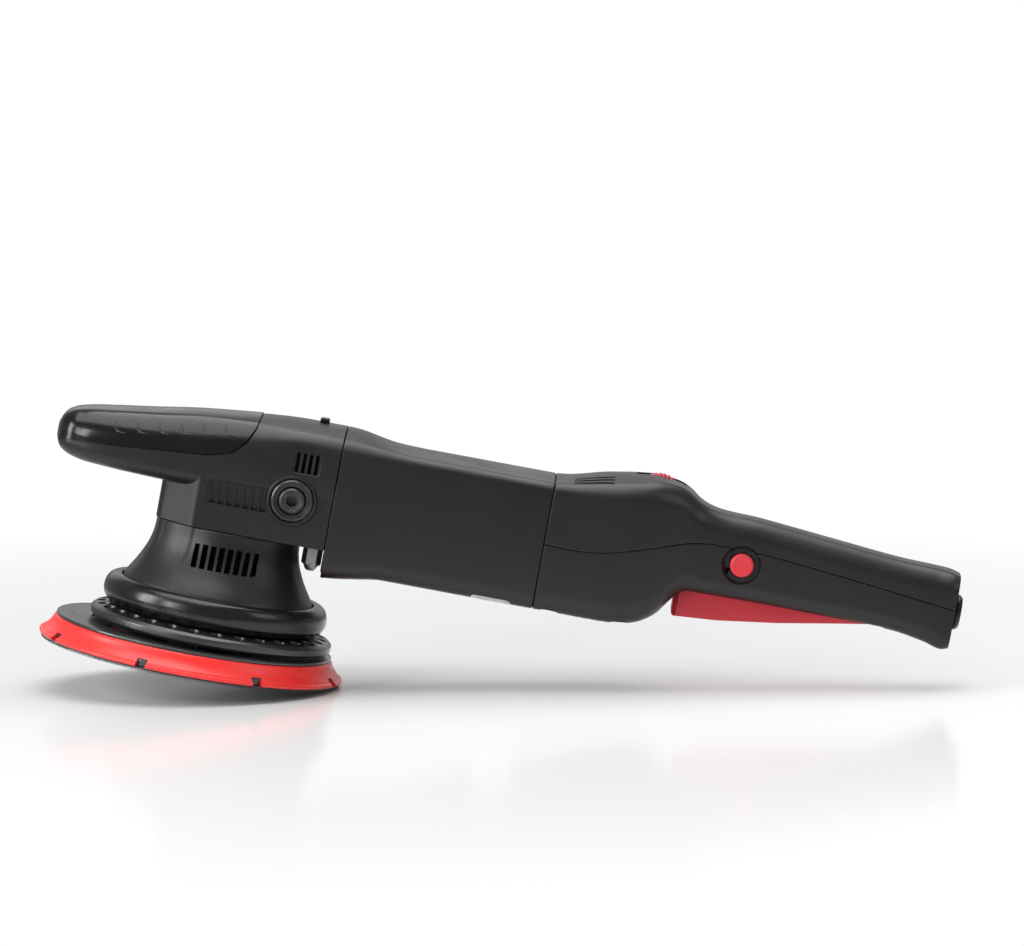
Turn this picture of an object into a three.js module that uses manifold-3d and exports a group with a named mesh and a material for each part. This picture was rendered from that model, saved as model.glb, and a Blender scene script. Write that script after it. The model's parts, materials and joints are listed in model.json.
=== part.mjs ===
// A dual action (random orbital) polisher with a 150 mm backing plate and a 15 mm orbit.
// Millimetres. +Z points up along the head's axis, +X runs from the head to the tail handle.
// The origin is the centre of the backing plate's working face; inside the "tool" group the
// head's own axis is at x = 0, so that group is shifted by the orbit's offset.
import * as THREE from "three";
import { mergeVertices } from "three/addons/utils/BufferGeometryUtils.js";
import Module from "manifold-3d";

const wasm = await Module();
wasm.setup();

// ---------------------------------------------------------------- driving dimensions
const gap = 0.3; // between pieces that touch
const running = 0.5; // between pieces that turn or slide past each other
const wall = 2.6; // of the plastic casings
const aluminium = 3.4; // wall of the gear case

const orbitOffset = 7.5; // head axis to plate axis, half of the 15 mm orbit
const plateRadius = 75;
const hookThickness = 1.5;
const foamThickness = 9.8;
const shellThickness = 1.3; // nylon top of the plate
const plateClearance = 1.6; // plate to vent ring

const bellTop = 68; // parting line between bell and head cover
const casingWidth = 63;
const casingHeight = 62.5;
const motorAxis = 89.2; // height of the motor's axis
const headJoint = 48.6; // head cover to motor housing
const tailJoint = 152.6; // motor housing to tail
const tailEnd = 355;
const noseTip = -90;
const neckFront = -35.5;
const neckCorner = 17; // corner radius of the neck, seen from above
const skirtRadius = 47.4; // bell's round bottom edge
const collarWall = 2.2; // vent ring's collar inside the bell
const weightClearance = 4.3; // counterweight to that collar
const bootRadius = 55.2;
const ventRingRadius = 59.5;

const crownTeeth = 36;
const pinionTeeth = 9;
const gearModule = 1.2;
const gearFace = 6;
const crownClearance = 2.3; // crown gear to the gear case

const boltRadius = 4; // M8 thread of the plate's stud and of the side handle screws
const bossX = 29;
const lockX = 42.4; // shaft lock, behind the bell
const gripDepth = 1.2; // recess for the rubber grip on the nose

const triggerFront = 219.5;
const triggerPivot = [318, 85.5];
const triggerHalfWidth = 11.5;
const buttonX = 249;
const buttonHeight = 96.6;
const buttonRadius = 5.8;
const dialRadius = 11.5;
const dialX = 203.5;
const dialAxis = 120.8;
const dialHalfWidth = 3.6;

// ---------------------------------------------------------------- worked-out heights
const foamBottom = hookThickness + gap;
const foamTop = foamBottom + foamThickness;
const plateTop = foamTop + gap + shellThickness;
const ventRingBottom = plateTop + plateClearance;
const casingTop = motorAxis + casingHeight / 2;
const casingBottom = motorAxis - casingHeight / 2;
const sideBulge = 1.3;
const casingHalf = casingWidth / 2 - sideBulge;

// ---------------------------------------------------------------- solids and booleans
function solidOf(geometry) {
  const bare = geometry.index ? geometry.toNonIndexed() : geometry.clone();
  bare.deleteAttribute("normal");
  bare.deleteAttribute("uv");
  const merged = mergeVertices(bare, 1e-4);
  const corners = merged.index.array;
  const kept = [];
  for (let i = 0; i < corners.length; i += 3) {
    const [a, b, c] = corners.subarray(i, i + 3);
    if (a !== b && b !== c && a !== c) kept.push(a, b, c);
  }
  const make = (triangles) =>
    new wasm.Manifold(
      new wasm.Mesh({
        numProp: 3,
        vertProperties: new Float32Array(merged.attributes.position.array),
        triVerts: new Uint32Array(triangles),
      }),
    );
  const made = make(kept);
  return made.volume() < 0 ? make(kept.reverse()) : made;
}

function geometryOf(solid) {
  const mesh = solid.getMesh();
  const positions = new Float32Array(mesh.numVert * 3);
  for (let i = 0; i < mesh.numVert; i++) {
    positions.set(mesh.vertProperties.subarray(i * mesh.numProp, i * mesh.numProp + 3), i * 3);
  }
  return new THREE.BufferGeometry()
    .setAttribute("position", new THREE.BufferAttribute(positions, 3))
    .setIndex(new THREE.BufferAttribute(new Uint32Array(mesh.triVerts), 1));
}

const join = (first, ...rest) =>
  geometryOf(rest.reduce((sum, g) => sum.add(solidOf(g)), solidOf(first)));
const cut = (first, ...tools) =>
  geometryOf(tools.reduce((sum, g) => sum.subtract(solidOf(g)), solidOf(first)));
const common = (first, ...rest) =>
  geometryOf(rest.reduce((sum, g) => sum.intersect(solidOf(g)), solidOf(first)));

// ---------------------------------------------------------------- basic shapes
// Turns geometry made along +Y so that it lies along the given axis.
function alongAxis(geometry, axis) {
  if (axis === "x") geometry.rotateZ(-Math.PI / 2);
  if (axis === "z") geometry.rotateX(Math.PI / 2);
  return geometry;
}

// A profile of [radius, distance along the axis] points, turned about the axis.
function turned(profile, axis = "z", segments = 20) {
  const points = profile.map(([r, a]) => new THREE.Vector2(r, a));
  const open = profile[0][0] === 0 && profile[profile.length - 1][0] === 0;
  if (!open) points.push(points[0].clone());
  return alongAxis(new THREE.LatheGeometry(points, segments), axis);
}

const tube = (outer, inner, from, to, axis = "z", segments = 20) =>
  turned([[inner, from], [outer, from], [outer, to], [inner, to]], axis, segments);

const rod = (radius, from, to, axis = "z", segments = 16) =>
  turned([[0, from], [radius, from], [radius, to], [0, to]], axis, segments);

function block(x0, x1, y0, y1, z0, z1) {
  return new THREE.BoxGeometry(x1 - x0, y1 - y0, z1 - z0).translate(
    (x0 + x1) / 2,
    (y0 + y1) / 2,
    (z0 + z1) / 2,
  );
}

// An outline of [x, z] points, extruded across the tool from y0 to y1.
function sideProfile(outline, y0, y1) {
  const shape = new THREE.Shape(outline.map(([x, z]) => new THREE.Vector2(x, z)));
  return new THREE.ExtrudeGeometry(shape, { depth: y1 - y0, bevelEnabled: false })
    .rotateX(Math.PI / 2)
    .translate(0, y1, 0);
}

// A rectangle seen from above with its front corners rounded, extruded upwards.
function plan(x0, x1, half, frontCorner, rearCorner, z0, z1) {
  const shape = new THREE.Shape();
  const corner = (cx, cy, r, start) => {
    if (r > 0) shape.absarc(cx, cy, r, start, start + Math.PI / 2, false);
    else shape.lineTo(cx, cy);
  };
  shape.moveTo(x0 + frontCorner, -half);
  corner(x1 - rearCorner, -half + rearCorner, rearCorner, -Math.PI / 2);
  corner(x1 - rearCorner, half - rearCorner, rearCorner, 0);
  corner(x0 + frontCorner, half - frontCorner, frontCorner, Math.PI / 2);
  corner(x0 + frontCorner, -half + frontCorner, frontCorner, Math.PI);
  return new THREE.ExtrudeGeometry(shape, {
    depth: z1 - z0,
    bevelEnabled: false,
    curveSegments: 5,
  }).translate(0, 0, z0);
}

// A closed skin over rings of points, each ring with the same number of points.
function skin(rings) {
  const count = rings[0].length;
  const positions = rings.flat(2);
  const triangles = [];
  for (let i = 0; i + 1 < rings.length; i++) {
    for (let j = 0; j < count; j++) {
      const k = (j + 1) % count;
      const [a, b] = [i * count + j, i * count + k];
      triangles.push(a, b, b + count, a, b + count, a + count);
    }
  }
  for (const [ring, turn] of [[0, 0], [rings.length - 1, 1]]) {
    const centre = positions.length / 3;
    for (let k = 0; k < 3; k++) {
      positions.push(rings[ring].reduce((sum, p) => sum + p[k], 0) / count);
    }
    for (let j = 0; j < count; j++) {
      const edge = [ring * count + j, ring * count + ((j + 1) % count)];
      triangles.push(centre, edge[1 - turn], edge[turn]);
    }
  }
  return new THREE.BufferGeometry()
    .setAttribute("position", new THREE.Float32BufferAttribute(positions, 3))
    .setIndex(triangles);
}

// ---------------------------------------------------------------- casing cross-sections
const CORNER_STEPS = 3;
const SIDE_STEPS = 2;

// One ring of a casing: a rounded rectangle across the tool whose sides bulge and whose top is
// crowned. half, bottom and top are its straight sides, grow moves the whole outline outwards.
function casingRing({ x, half, bottom, top, topCorner, bottomCorner, bulge, crown }, grow) {
  const w = half + grow;
  const low = bottom - grow;
  const high = top + grow;
  const middle = (low + high) / 2;
  const height = (high - low) / 2;
  const limit = Math.min(w, height) * 0.95;
  const points = [];
  const corners = [
    [1, -1, bottomCorner, -Math.PI / 2],
    [1, 1, topCorner, 0],
    [-1, 1, topCorner, Math.PI / 2],
    [-1, -1, bottomCorner, Math.PI],
  ];
  const rounded = corners.map(([sy, sz, radius, start]) => {
    const r = Math.min(Math.max(radius + grow, 0.6), limit);
    return Array.from({ length: CORNER_STEPS + 1 }, (_, i) => {
      const angle = start + (i / CORNER_STEPS) * (Math.PI / 2);
      return [
        sy * (w - r) + r * Math.cos(angle),
        middle + sz * (height - r) + r * Math.sin(angle),
      ];
    });
  });
  rounded.forEach((arc, i) => {
    points.push(...arc);
    const [from, to] = [arc[CORNER_STEPS], rounded[(i + 1) % 4][0]];
    for (let k = 1; k < SIDE_STEPS; k++) {
      const share = k / SIDE_STEPS;
      points.push([from[0] + share * (to[0] - from[0]), from[1] + share * (to[1] - from[1])]);
    }
  });
  return points.map(([y, z]) => {
    const across = y / w;
    const up = (z - middle) / height;
    return [
      x,
      y + Math.sign(y) * bulge * Math.max(0, 1 - up * up),
      z + crown * Math.max(0, up) * (1 - across * across),
    ];
  });
}

const station = (x, half, bottom, top, topCorner, bottomCorner, bulge, crown) => ({
  x,
  half,
  bottom,
  top,
  topCorner,
  bottomCorner,
  bulge,
  crown,
});

const loft = (stations, grow = 0) => skin(stations.map((s) => casingRing(s, grow)));

// The cavity inside a casing: the same loft, one wall thinner, run on past its open ends.
function cavity(stations, openStart, openEnd, thickness = wall) {
  const inner = stations.map((s) => ({ ...s }));
  const first = inner[0];
  const last = inner[inner.length - 1];
  if (openStart) inner.unshift({ ...first, x: first.x - 1 });
  else first.x += thickness;
  if (openEnd) inner.push({ ...last, x: last.x + 1 });
  else last.x -= thickness;
  return loft(inner, -thickness);
}

// Stations share the casing's size, so the joints between casings always meet.
const fullStation = (x, drop, crown) =>
  station(x, casingHalf, casingBottom - drop, casingTop, 5, 8, sideBulge, crown);

const motorStations = [
  fullStation(headJoint + gap, 4, 6.2),
  fullStation(headJoint + 8, 3.2, 5.6),
  fullStation(headJoint + 18, 1.6, 3.4),
  fullStation(headJoint + 30, 0, 0.8),
  fullStation(headJoint + 42, 0, 0),
  fullStation(tailJoint - gap, 0, 0),
];

// The nose and the upper half of the head. A rise is a height measured from the casing's top.
const noseBottom = casingTop - 34;
const headRow = (x, narrower, bottomRise, drop, topCorner, bottomCorner, bulge, crown) =>
  station(
    x,
    casingHalf - narrower,
    noseBottom + bottomRise,
    casingTop - drop,
    topCorner,
    bottomCorner,
    bulge,
    crown,
  );

const headStations = [
  headRow(noseTip, 21, 10.5, 16.5, 3, 3, 0, 0.5),
  headRow(noseTip + 1.6, 15.5, 7.4, 13.2, 6, 5, 0, 1),
  headRow(noseTip + 5, 11, 4.8, 11, 8, 6, 0, 1.6),
  headRow(noseTip + 12, 7.2, 2.6, 9.5, 10, 7, 0, 2.4),
  headRow(noseTip + 25, 4.2, 1.5, 7.9, 11, 7, 0.3, 3),
  headRow(noseTip + 45, 1.9, 0.8, 5.9, 12, 7, 0.6, 4),
  headRow(noseTip + 65, 0.6, 0.3, 3.7, 12, 7, 0.9, 5),
  headRow(noseTip + 85, 0, 0, 1.9, 10, 7, 1.2, 5.5),
  headRow(noseTip + 105, 0, 0, 0.5, 7, 7, sideBulge, 6),
  headRow(noseTip + 120, 0, 0, 0, 5, 7, sideBulge, 6.2),
  headRow(headJoint - gap, 0, 0, 0, 5, 8, sideBulge, 6.2),
];

// The tail: a full-size housing that narrows into the rear handle.
const tailBody = (x, narrower, bottomRise, topRise, topCorner, bottomCorner, bulge, crown) =>
  station(
    x,
    casingHalf - narrower,
    casingBottom + bottomRise,
    casingTop + topRise,
    topCorner,
    bottomCorner,
    bulge,
    crown,
  );
const handleHalf = 17.6;
const handleBottom = 79;
const handleTop = 117.6;
const handleStart = 233;
const clampFrom = handleStart + 0.754 * (tailEnd - handleStart); // rests on the handle's floor
const handleRow = (share, wider, bottomRise, topRise, corner) =>
  station(
    handleStart + share * (tailEnd - handleStart),
    handleHalf + wider,
    handleBottom + bottomRise,
    handleTop + topRise,
    corner,
    corner - 1,
    0.3,
    1.5,
  );

const tailStations = [
  tailBody(tailJoint + gap, 0, 0, 0, 5, 8, sideBulge, 0),
  tailBody(tailJoint + 12, 0, -0.1, 0.5, 5, 9, sideBulge, 3.4),
  tailBody(tailJoint + 27, 0, -0.3, 2.5, 6, 10, sideBulge, 5.4),
  tailBody(tailJoint + 40, 0.8, 0, 5, 7, 11, sideBulge, 5),
  tailBody(tailJoint + 52, 3.6, 2.5, 7.4, 8, 12, 1.1, 3.2),
  tailBody(tailJoint + 60, 6.6, 8, 7, 9, 12, 0.9, 2.4),
  tailBody(tailJoint + 66, 9, 16, 5, 9, 11, 0.7, 2),
  tailBody(tailJoint + 72, 10.8, 20.5, 1, 9, 10, 0.5, 1.8),
  handleRow(0, 0.9, 0, 1.2, 9),
  handleRow(0.17, 0, 0, 0, 9),
  handleRow(0.48, -0.6, -0.4, -3.4, 9),
  handleRow(0.76, -1, -1, -6.4, 9),
  handleRow(0.9, -0.6, -3.6, -7, 9),
  handleRow(0.97, -0.2, -5.6, -7.6, 8),
  handleRow(1, -1.2, -4.6, -8.6, 7),
];

// ---------------------------------------------------------------- materials
const finish = (color, roughness, metalness = 0) =>
  new THREE.MeshStandardMaterial({ color, roughness, metalness });
const blackPlastic = finish(0x2c2c2d, 0.62);
const blackRubber = finish(0x151515, 0.5);
const softRubber = finish(0x1d1d1d, 0.42);
const blackNylon = finish(0x222222, 0.55);
const redFoam = finish(0xe8322c, 0.45);
const redPlastic = finish(0xc8243a, 0.4);
const hookFabric = finish(0x141414, 0.95);
const castAluminium = finish(0x9c9ea0, 0.45, 0.9);
const steel = finish(0x8b8d90, 0.32, 1);
const darkSteel = finish(0x3c3d3f, 0.45, 0.9);
const copper = finish(0xb4622d, 0.4, 1);
const brass = finish(0xb9924a, 0.35, 1);
const carbon = finish(0x1b1b1b, 0.8);
const whitePlastic = finish(0xc9c9c4, 0.6);
const foilLabel = finish(0xb9bcbe, 0.35, 0.8);

const polisher = new THREE.Group();
const tool = new THREE.Group();
tool.position.x = orbitOffset;
polisher.add(tool);
const plate = new THREE.Group();
plate.position.x = -orbitOffset;
tool.add(plate);
const motor = new THREE.Group();
motor.position.z = motorAxis;
tool.add(motor);

function piece(group, name, material, geometry) {
  const mesh = new THREE.Mesh(geometryOf(solidOf(geometry).simplify(0.04)), material);
  mesh.name = name;
  group.add(mesh);
}

// ---------------------------------------------------------------- backing plate
const hubRadius = 19; // steel insert's flange
const hubNeck = 9.4;
const bossRise = 0.8 * plateClearance;
const hubTop = plateTop + 4;
const studTop = hubTop + 11;
const rimLip = 1.4;
const foamTopRadius = plateRadius - 6.6;

function around(count, start, make) {
  return Array.from({ length: count }, (_, i) =>
    make().rotateZ(start + (i / count) * Math.PI * 2),
  );
}

function backingPlate() {
  const ventHole = () => rod(4.6, -1, plateTop + 5, "z", 8).scale(1.25, 1, 1).translate(48, 0, 0);
  const firstVent = (221 / 180) * Math.PI;
  piece(plate, "plate_hook_face", hookFabric, rod(plateRadius - 1, 0, hookThickness, "z", 40));

  const foam = turned(
    [
      [hubRadius + gap, foamBottom],
      [plateRadius - 0.6, foamBottom],
      [plateRadius, foamBottom + 0.6],
      [plateRadius, foamBottom + rimLip],
      [plateRadius - 2.6, foamBottom + 3.4],
      [plateRadius - 5, foamBottom + 7],
      [foamTopRadius, foamTop - 0.8],
      [foamTopRadius - 0.8, foamTop],
      [hubRadius + gap, foamTop],
    ],
    "z",
    40,
  );
  const notchDepth = 6;
  const notch = () =>
    block(plateRadius - notchDepth, plateRadius + 2, -2.5, 2.5, foamBottom - 1, foamBottom + 3.9);
  const channel = () =>
    rod(3.4, foamTop - 4, foamTop + 1, "z", 6).translate(48, 0, 0);
  piece(
    plate,
    "plate_foam",
    redFoam,
    cut(foam, ...around(8, -Math.PI / 12, notch), ...around(8, firstVent, channel)),
  );

  const nylon = turned(
    [
      [hubNeck + gap, foamTop + gap],
      [foamTopRadius - 0.4, foamTop + gap],
      [foamTopRadius - 0.4, plateTop - 0.5],
      [foamTopRadius - 1, plateTop],
      [hubRadius + 4, plateTop],
      [hubRadius - 2, plateTop + bossRise],
      [hubNeck + gap, plateTop + bossRise],
    ],
    "z",
    32,
  );
  piece(plate, "plate_top", blackNylon, cut(nylon, ...around(8, firstVent, ventHole)));

  piece(
    plate,
    "plate_hub",
    steel,
    turned([
      [0, foamBottom],
      [hubRadius, foamBottom],
      [hubRadius, foamTop - gap],
      [hubNeck, foamTop - gap],
      [hubNeck, hubTop],
      [boltRadius, hubTop],
      [boltRadius, studTop - 0.8],
      [boltRadius - 0.8, studTop],
      [0, studTop],
    ]),
  );
}

// ---------------------------------------------------------------- orbit drive
const bearing = (inner, outer, width) => ({ inner, outer, width });
const plateBearing = bearing(6, 14, 8);
const lowerBearing = bearing(7.5, 17.5, 11);
const upperBearing = bearing(5, 13, 8);
const frontBearing = bearing(5, 13, 8);
const rearBearing = bearing(4, 11, 7);

// A ball bearing as one body: two races and a shallow groove that marks its shield.
function ballBearing({ inner, outer, width }, from, axis) {
  const [r0, r1] = [inner + gap, outer];
  const [a, b] = [from, from + width];
  const shield = 0.5;
  const race = (r1 - r0) * 0.28;
  return turned(
    [
      [r0, a],
      [r0 + race, a],
      [r0 + race, a + shield],
      [r1 - race, a + shield],
      [r1 - race, a],
      [r1, a],
      [r1, b],
      [r0, b],
    ],
    axis,
    16,
  );
}

const cupBottom = hubTop + 2.6;
const firstBearing = cupBottom + 1.2;
const secondBearing = firstBearing + plateBearing.width + gap;
const cupBore = plateBearing.outer + gap;
const cupCeiling = secondBearing + plateBearing.width + gap;
const hubCeiling = cupCeiling + 8;
const spindleFoot = cupCeiling + 1.8;
const cupRadius = cupBore + 3.6;
const weightRadius = skirtRadius - wall - gap - collarWall - weightClearance;
const weightTop = cupCeiling + 0.5;

function orbitDrive() {
  const weight = cut(
    rod(weightRadius, cupBottom + 3, weightTop, "z", 32),
    block(-weightRadius - 1, 4, -weightRadius - 1, weightRadius + 1, cupBottom, weightTop + 1),
  );
  const hub = join(
    rod(cupRadius, cupBottom, cupCeiling + 1.5, "z", 28).translate(-orbitOffset, 0, 0),
    rod(cupRadius - 2, cupCeiling - 3, hubCeiling, "z", 28),
    weight,
  );
  piece(
    tool,
    "eccentric_hub",
    darkSteel,
    cut(
      hub,
      rod(cupBore, cupBottom - 1, cupCeiling, "z", 28).translate(-orbitOffset, 0, 0),
      rod(lowerBearing.inner + gap, spindleFoot, hubCeiling + 1, "z", 20),
    ),
  );

  const flange = plateBearing.inner + 2.6;
  piece(
    plate,
    "plate_spindle",
    steel,
    turned([
      [boltRadius + gap, hubTop + gap],
      [flange, hubTop + gap],
      [flange, firstBearing - gap],
      [plateBearing.inner, firstBearing - gap],
      [plateBearing.inner, secondBearing + plateBearing.width],
      [0, secondBearing + plateBearing.width],
      [0, studTop + gap],
      [boltRadius + gap, studTop + gap],
    ].reverse()),
  );
  piece(plate, "plate_bearing_lower", steel, ballBearing(plateBearing, firstBearing, "z"));
  piece(plate, "plate_bearing_upper", steel, ballBearing(plateBearing, secondBearing, "z"));
}

// ---------------------------------------------------------------- gear head
const lowerBearingFoot = hubCeiling + 2.4;
const neckRadius = lowerBearing.outer + gap + aluminium;
const caseFloor = bellTop + 0.5;
const caseTop = motorAxis + 12;
const coverTop = caseTop + 10.4;
const crownRadius = (crownTeeth * gearModule) / 2;
const caseRadius = crownRadius + crownClearance + aluminium;
const pinionRadius = (pinionTeeth * gearModule) / 2;
const addendum = 0.75 * gearModule;
const dedendum = 1.15 * gearModule;
const tunnelRadius = frontBearing.outer + gap + aluminium + 0.5;
const tunnelBearing = crownRadius + 8;
const flangeFrom = headJoint - 4.4;
const upperBearingFoot = caseTop + 1;

// One straight bevel tooth as an eight-cornered wedge that shrinks towards the cones' apex.
// It lies along +X from the apex at the origin; "up" is the way it stands off the pitch cone.
function bevelTooth(pitchRadius, otherRadius) {
  const reach = Math.hypot(pitchRadius, otherRadius);
  const inner = 1 - gearFace / reach;
  const lean = Math.atan2(otherRadius, pitchRadius);
  const half = (Math.PI * gearModule * 0.36) / 2;
  const slope = Math.tan((20 / 180) * Math.PI);
  const ring = (scale) => {
    const at = (side, height) => {
      const width = (half - slope * height) * side * scale;
      const x = pitchRadius * scale + Math.sin(lean) * height * scale;
      const z = -otherRadius * scale + Math.cos(lean) * height * scale;
      return [x, width, z];
    };
    const root = -dedendum - 0.3;
    return [at(-1, root), at(1, root), at(1, addendum), at(-1, addendum)];
  };
  return skin([ring(inner), ring(1)]);
}

function gears() {
  const inner = 1 - gearFace / Math.hypot(crownRadius, pinionRadius);
  const lean = Math.atan2(pinionRadius, crownRadius);
  const rootHeight = (scale) => -(pinionRadius + dedendum * Math.cos(lean)) * scale;
  const bore = lowerBearing.inner + gap;
  const crownBody = turned(
    [
      [bore, -17],
      [bore + 5, -17],
      [bore + 6, -13],
      [crownRadius + 0.2, -11.5],
      [crownRadius + 0.2, rootHeight(1)],
      [crownRadius * inner - 0.4, rootHeight(inner)],
      [bore + 3, rootHeight(inner) - 1],
      [bore, rootHeight(inner) - 1],
    ],
    "z",
    crownTeeth,
  );
  const crownTooth = () => bevelTooth(crownRadius, pinionRadius);
  const crown = join(crownBody, ...around(crownTeeth, Math.PI / crownTeeth, crownTooth));
  piece(motor, "crown_gear", darkSteel, crown);

  const [bodyFrom, bodyTo] = [crownRadius * inner - 0.2, crownRadius];
  const rootRadius = (scale) => (pinionRadius - dedendum) * scale;
  const pinionBody = turned(
    [
      [0, bodyFrom],
      [rootRadius(inner), bodyFrom],
      [rootRadius(1), bodyTo],
      [pinionRadius, bodyTo + 0.8],
      [pinionRadius, tunnelBearing - 0.6],
      [pinionShaft + gap, tunnelBearing - 0.6],
      [pinionShaft + gap, bodyFrom + 4.4],
      [0, bodyFrom + 4.4],
    ],
    "x",
    pinionTeeth * 2,
  );
  // The same tooth, with its height across the pinion's axis instead of the crown's.
  const pinionTooth = (i) =>
    bevelTooth(pinionRadius, crownRadius)
      .rotateY(Math.PI / 2)
      .scale(-1, 1, 1)
      .rotateX((i / pinionTeeth) * Math.PI * 2);
  const teeth = Array.from({ length: pinionTeeth }, (_, i) => pinionTooth(i));
  piece(motor, "pinion", steel, join(pinionBody, ...teeth));
}

const pinionShaft = 2.4;

function gearHead() {
  const seat = lowerBearing.outer + gap;
  const pot = turned(
    [
      [seat, lowerBearingFoot - 1],
      [neckRadius, lowerBearingFoot - 1],
      [neckRadius, caseFloor],
      [caseRadius, caseFloor],
      [caseRadius, caseTop],
      [caseRadius - aluminium, caseTop],
      [caseRadius - aluminium, caseFloor + 2.4],
      [lowerBearing.inner + running, caseFloor + 2.4],
      [lowerBearing.inner + running, caseFloor],
      [seat - 1.6, caseFloor - 1],
      [seat - 1.6, lowerBearingFoot + lowerBearing.width + gap],
      [seat, lowerBearingFoot + lowerBearing.width + gap],
    ],
    "z",
    32,
  );
  const lift = (g) => g.translate(0, 0, motorAxis);
  const tunnelRod = (grow) =>
    lift(rod(tunnelRadius + grow, crownRadius + 3.4 - grow, flangeFrom + 1, "x", 24));
  const flange = common(
    block(flangeFrom, headJoint - gap, -60, 60, motorAxis - tunnelRadius, casingTop),
    loft(headStations, -wall - gap),
  );
  const shell = cut(
    join(pot, tunnelRod(0), flange),
    lift(rod(frontBearing.outer + gap, tunnelBearing - gap, headJoint + 1, "x", 24)),
    lift(rod(pinionRadius + 2.2, crownRadius - 3, tunnelBearing + 1, "x", 20)),
    rod(lockStem + gap, motorAxis - tunnelRadius - 1, motorAxis, "z", 12).translate(lockX, 0, 0),
  );
  piece(tool, "gear_case", castAluminium, shell);

  const cover = turned(
    [
      [0, coverTop],
      [caseRadius - 8, coverTop],
      [caseRadius, coverTop - 5],
      [caseRadius, caseTop + gap],
      [upperBearing.outer + gap, caseTop + gap],
      [upperBearing.outer + gap, upperBearingFoot + upperBearing.width + gap],
      [0, upperBearingFoot + upperBearing.width + gap],
    ],
    "z",
    32,
  );
  piece(tool, "gear_case_cover", castAluminium, cut(cover, tunnelRod(gap)));

  const spindleTop = upperBearingFoot + upperBearing.width - 0.5;
  piece(
    tool,
    "spindle",
    steel,
    turned([
      [0, spindleFoot + gap],
      [lowerBearing.inner, spindleFoot + gap],
      [lowerBearing.inner, caseTop - 1],
      [upperBearing.inner, caseTop - 1],
      [upperBearing.inner, spindleTop],
      [0, spindleTop],
    ]),
  );
  piece(tool, "spindle_bearing_lower", steel, ballBearing(lowerBearing, lowerBearingFoot, "z"));
  piece(tool, "spindle_bearing_upper", steel, ballBearing(upperBearing, upperBearingFoot, "z"));
}

// ---------------------------------------------------------------- bell, boot and vent ring
const BELL_POINTS = 28;

// One ring of the bell: a rounded square that turns into a circle as its corners grow.
function bellRing(z, halfX, halfY, corner, grow) {
  const [a, b] = [halfX + grow, halfY + grow];
  const r = Math.min(corner + grow, a, b);
  return Array.from({ length: BELL_POINTS }, (_, i) => {
    const quarter = Math.floor((i / BELL_POINTS) * 4);
    const share = (i / BELL_POINTS) * 4 - quarter;
    const sx = [1, -1, -1, 1][quarter];
    const sy = [1, 1, -1, -1][quarter];
    const angle = (quarter + share) * (Math.PI / 2);
    return [sx * (a - r) + r * Math.cos(angle), sy * (b - r) + r * Math.sin(angle), z];
  });
}

const neckHalf = casingWidth / 2 - 1.6;
const bellStep = 1.6; // the head cover stands proud of the bell's top by this much
const skirtFoot = ventRingBottom + 10;
const shoulder = skirtFoot + 12.6;
// Heights run up from the shoulder, where the bell leaves the boot, to the parting line.
const bellRise = bellTop - gap - shoulder;
const bellHalfX = -neckFront - bellStep;
const bellRows = [
  [1, 0, 0, neckCorner - 1],
  [0.8, 0.4, 0.4, neckCorner + 0.5],
  [0.6, 1.8, 2.2, neckCorner + 4],
  [0.42, 4.2, 5.2, neckCorner + 9],
  [0.25, 7.2, 8.8, neckCorner + 16],
  [0.1, 10.6, 12.4, neckCorner + 24],
  [0, 12.8, 15, neckCorner + 31],
];

function bell() {
  const rings = (grow, top, foot) => [
    ...bellRows.map(([rise, outX, outY, corner], i) =>
      bellRing(
        i === 0 ? top : shoulder + rise * bellRise,
        Math.min(bellHalfX + outX, skirtRadius - 0.6),
        Math.min(neckHalf - bellStep + outY, skirtRadius - 0.6),
        corner,
        grow,
      ),
    ),
    bellRing(shoulder - 2.4, skirtRadius, skirtRadius, skirtRadius, grow),
    bellRing(foot, skirtRadius, skirtRadius, skirtRadius, grow),
  ];
  const slots = [];
  const [slotCount, slotPitch, slotWidth] = [8, 4.4, 2.3];
  const slotMiddle = shoulder + 0.62 * bellRise;
  for (let i = 0; i < slotCount; i++) {
    const x = 2 + (i - (slotCount - 1) / 2) * slotPitch;
    slots.push(
      block(
        x - slotWidth / 2,
        x + slotWidth / 2,
        -skirtRadius,
        skirtRadius,
        slotMiddle - 5.2,
        slotMiddle + 5.2,
      ),
    );
  }
  const hollow = skin(rings(-wall, bellTop - gap - wall, skirtFoot - 1));
  const throat = rod(neckRadius + gap, shoulder, bellTop + 1, "z", 28);
  const outside = skin(rings(0, bellTop - gap, skirtFoot));
  piece(tool, "bell_shroud", blackPlastic, cut(outside, hollow, throat, ...slots));
}

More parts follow.
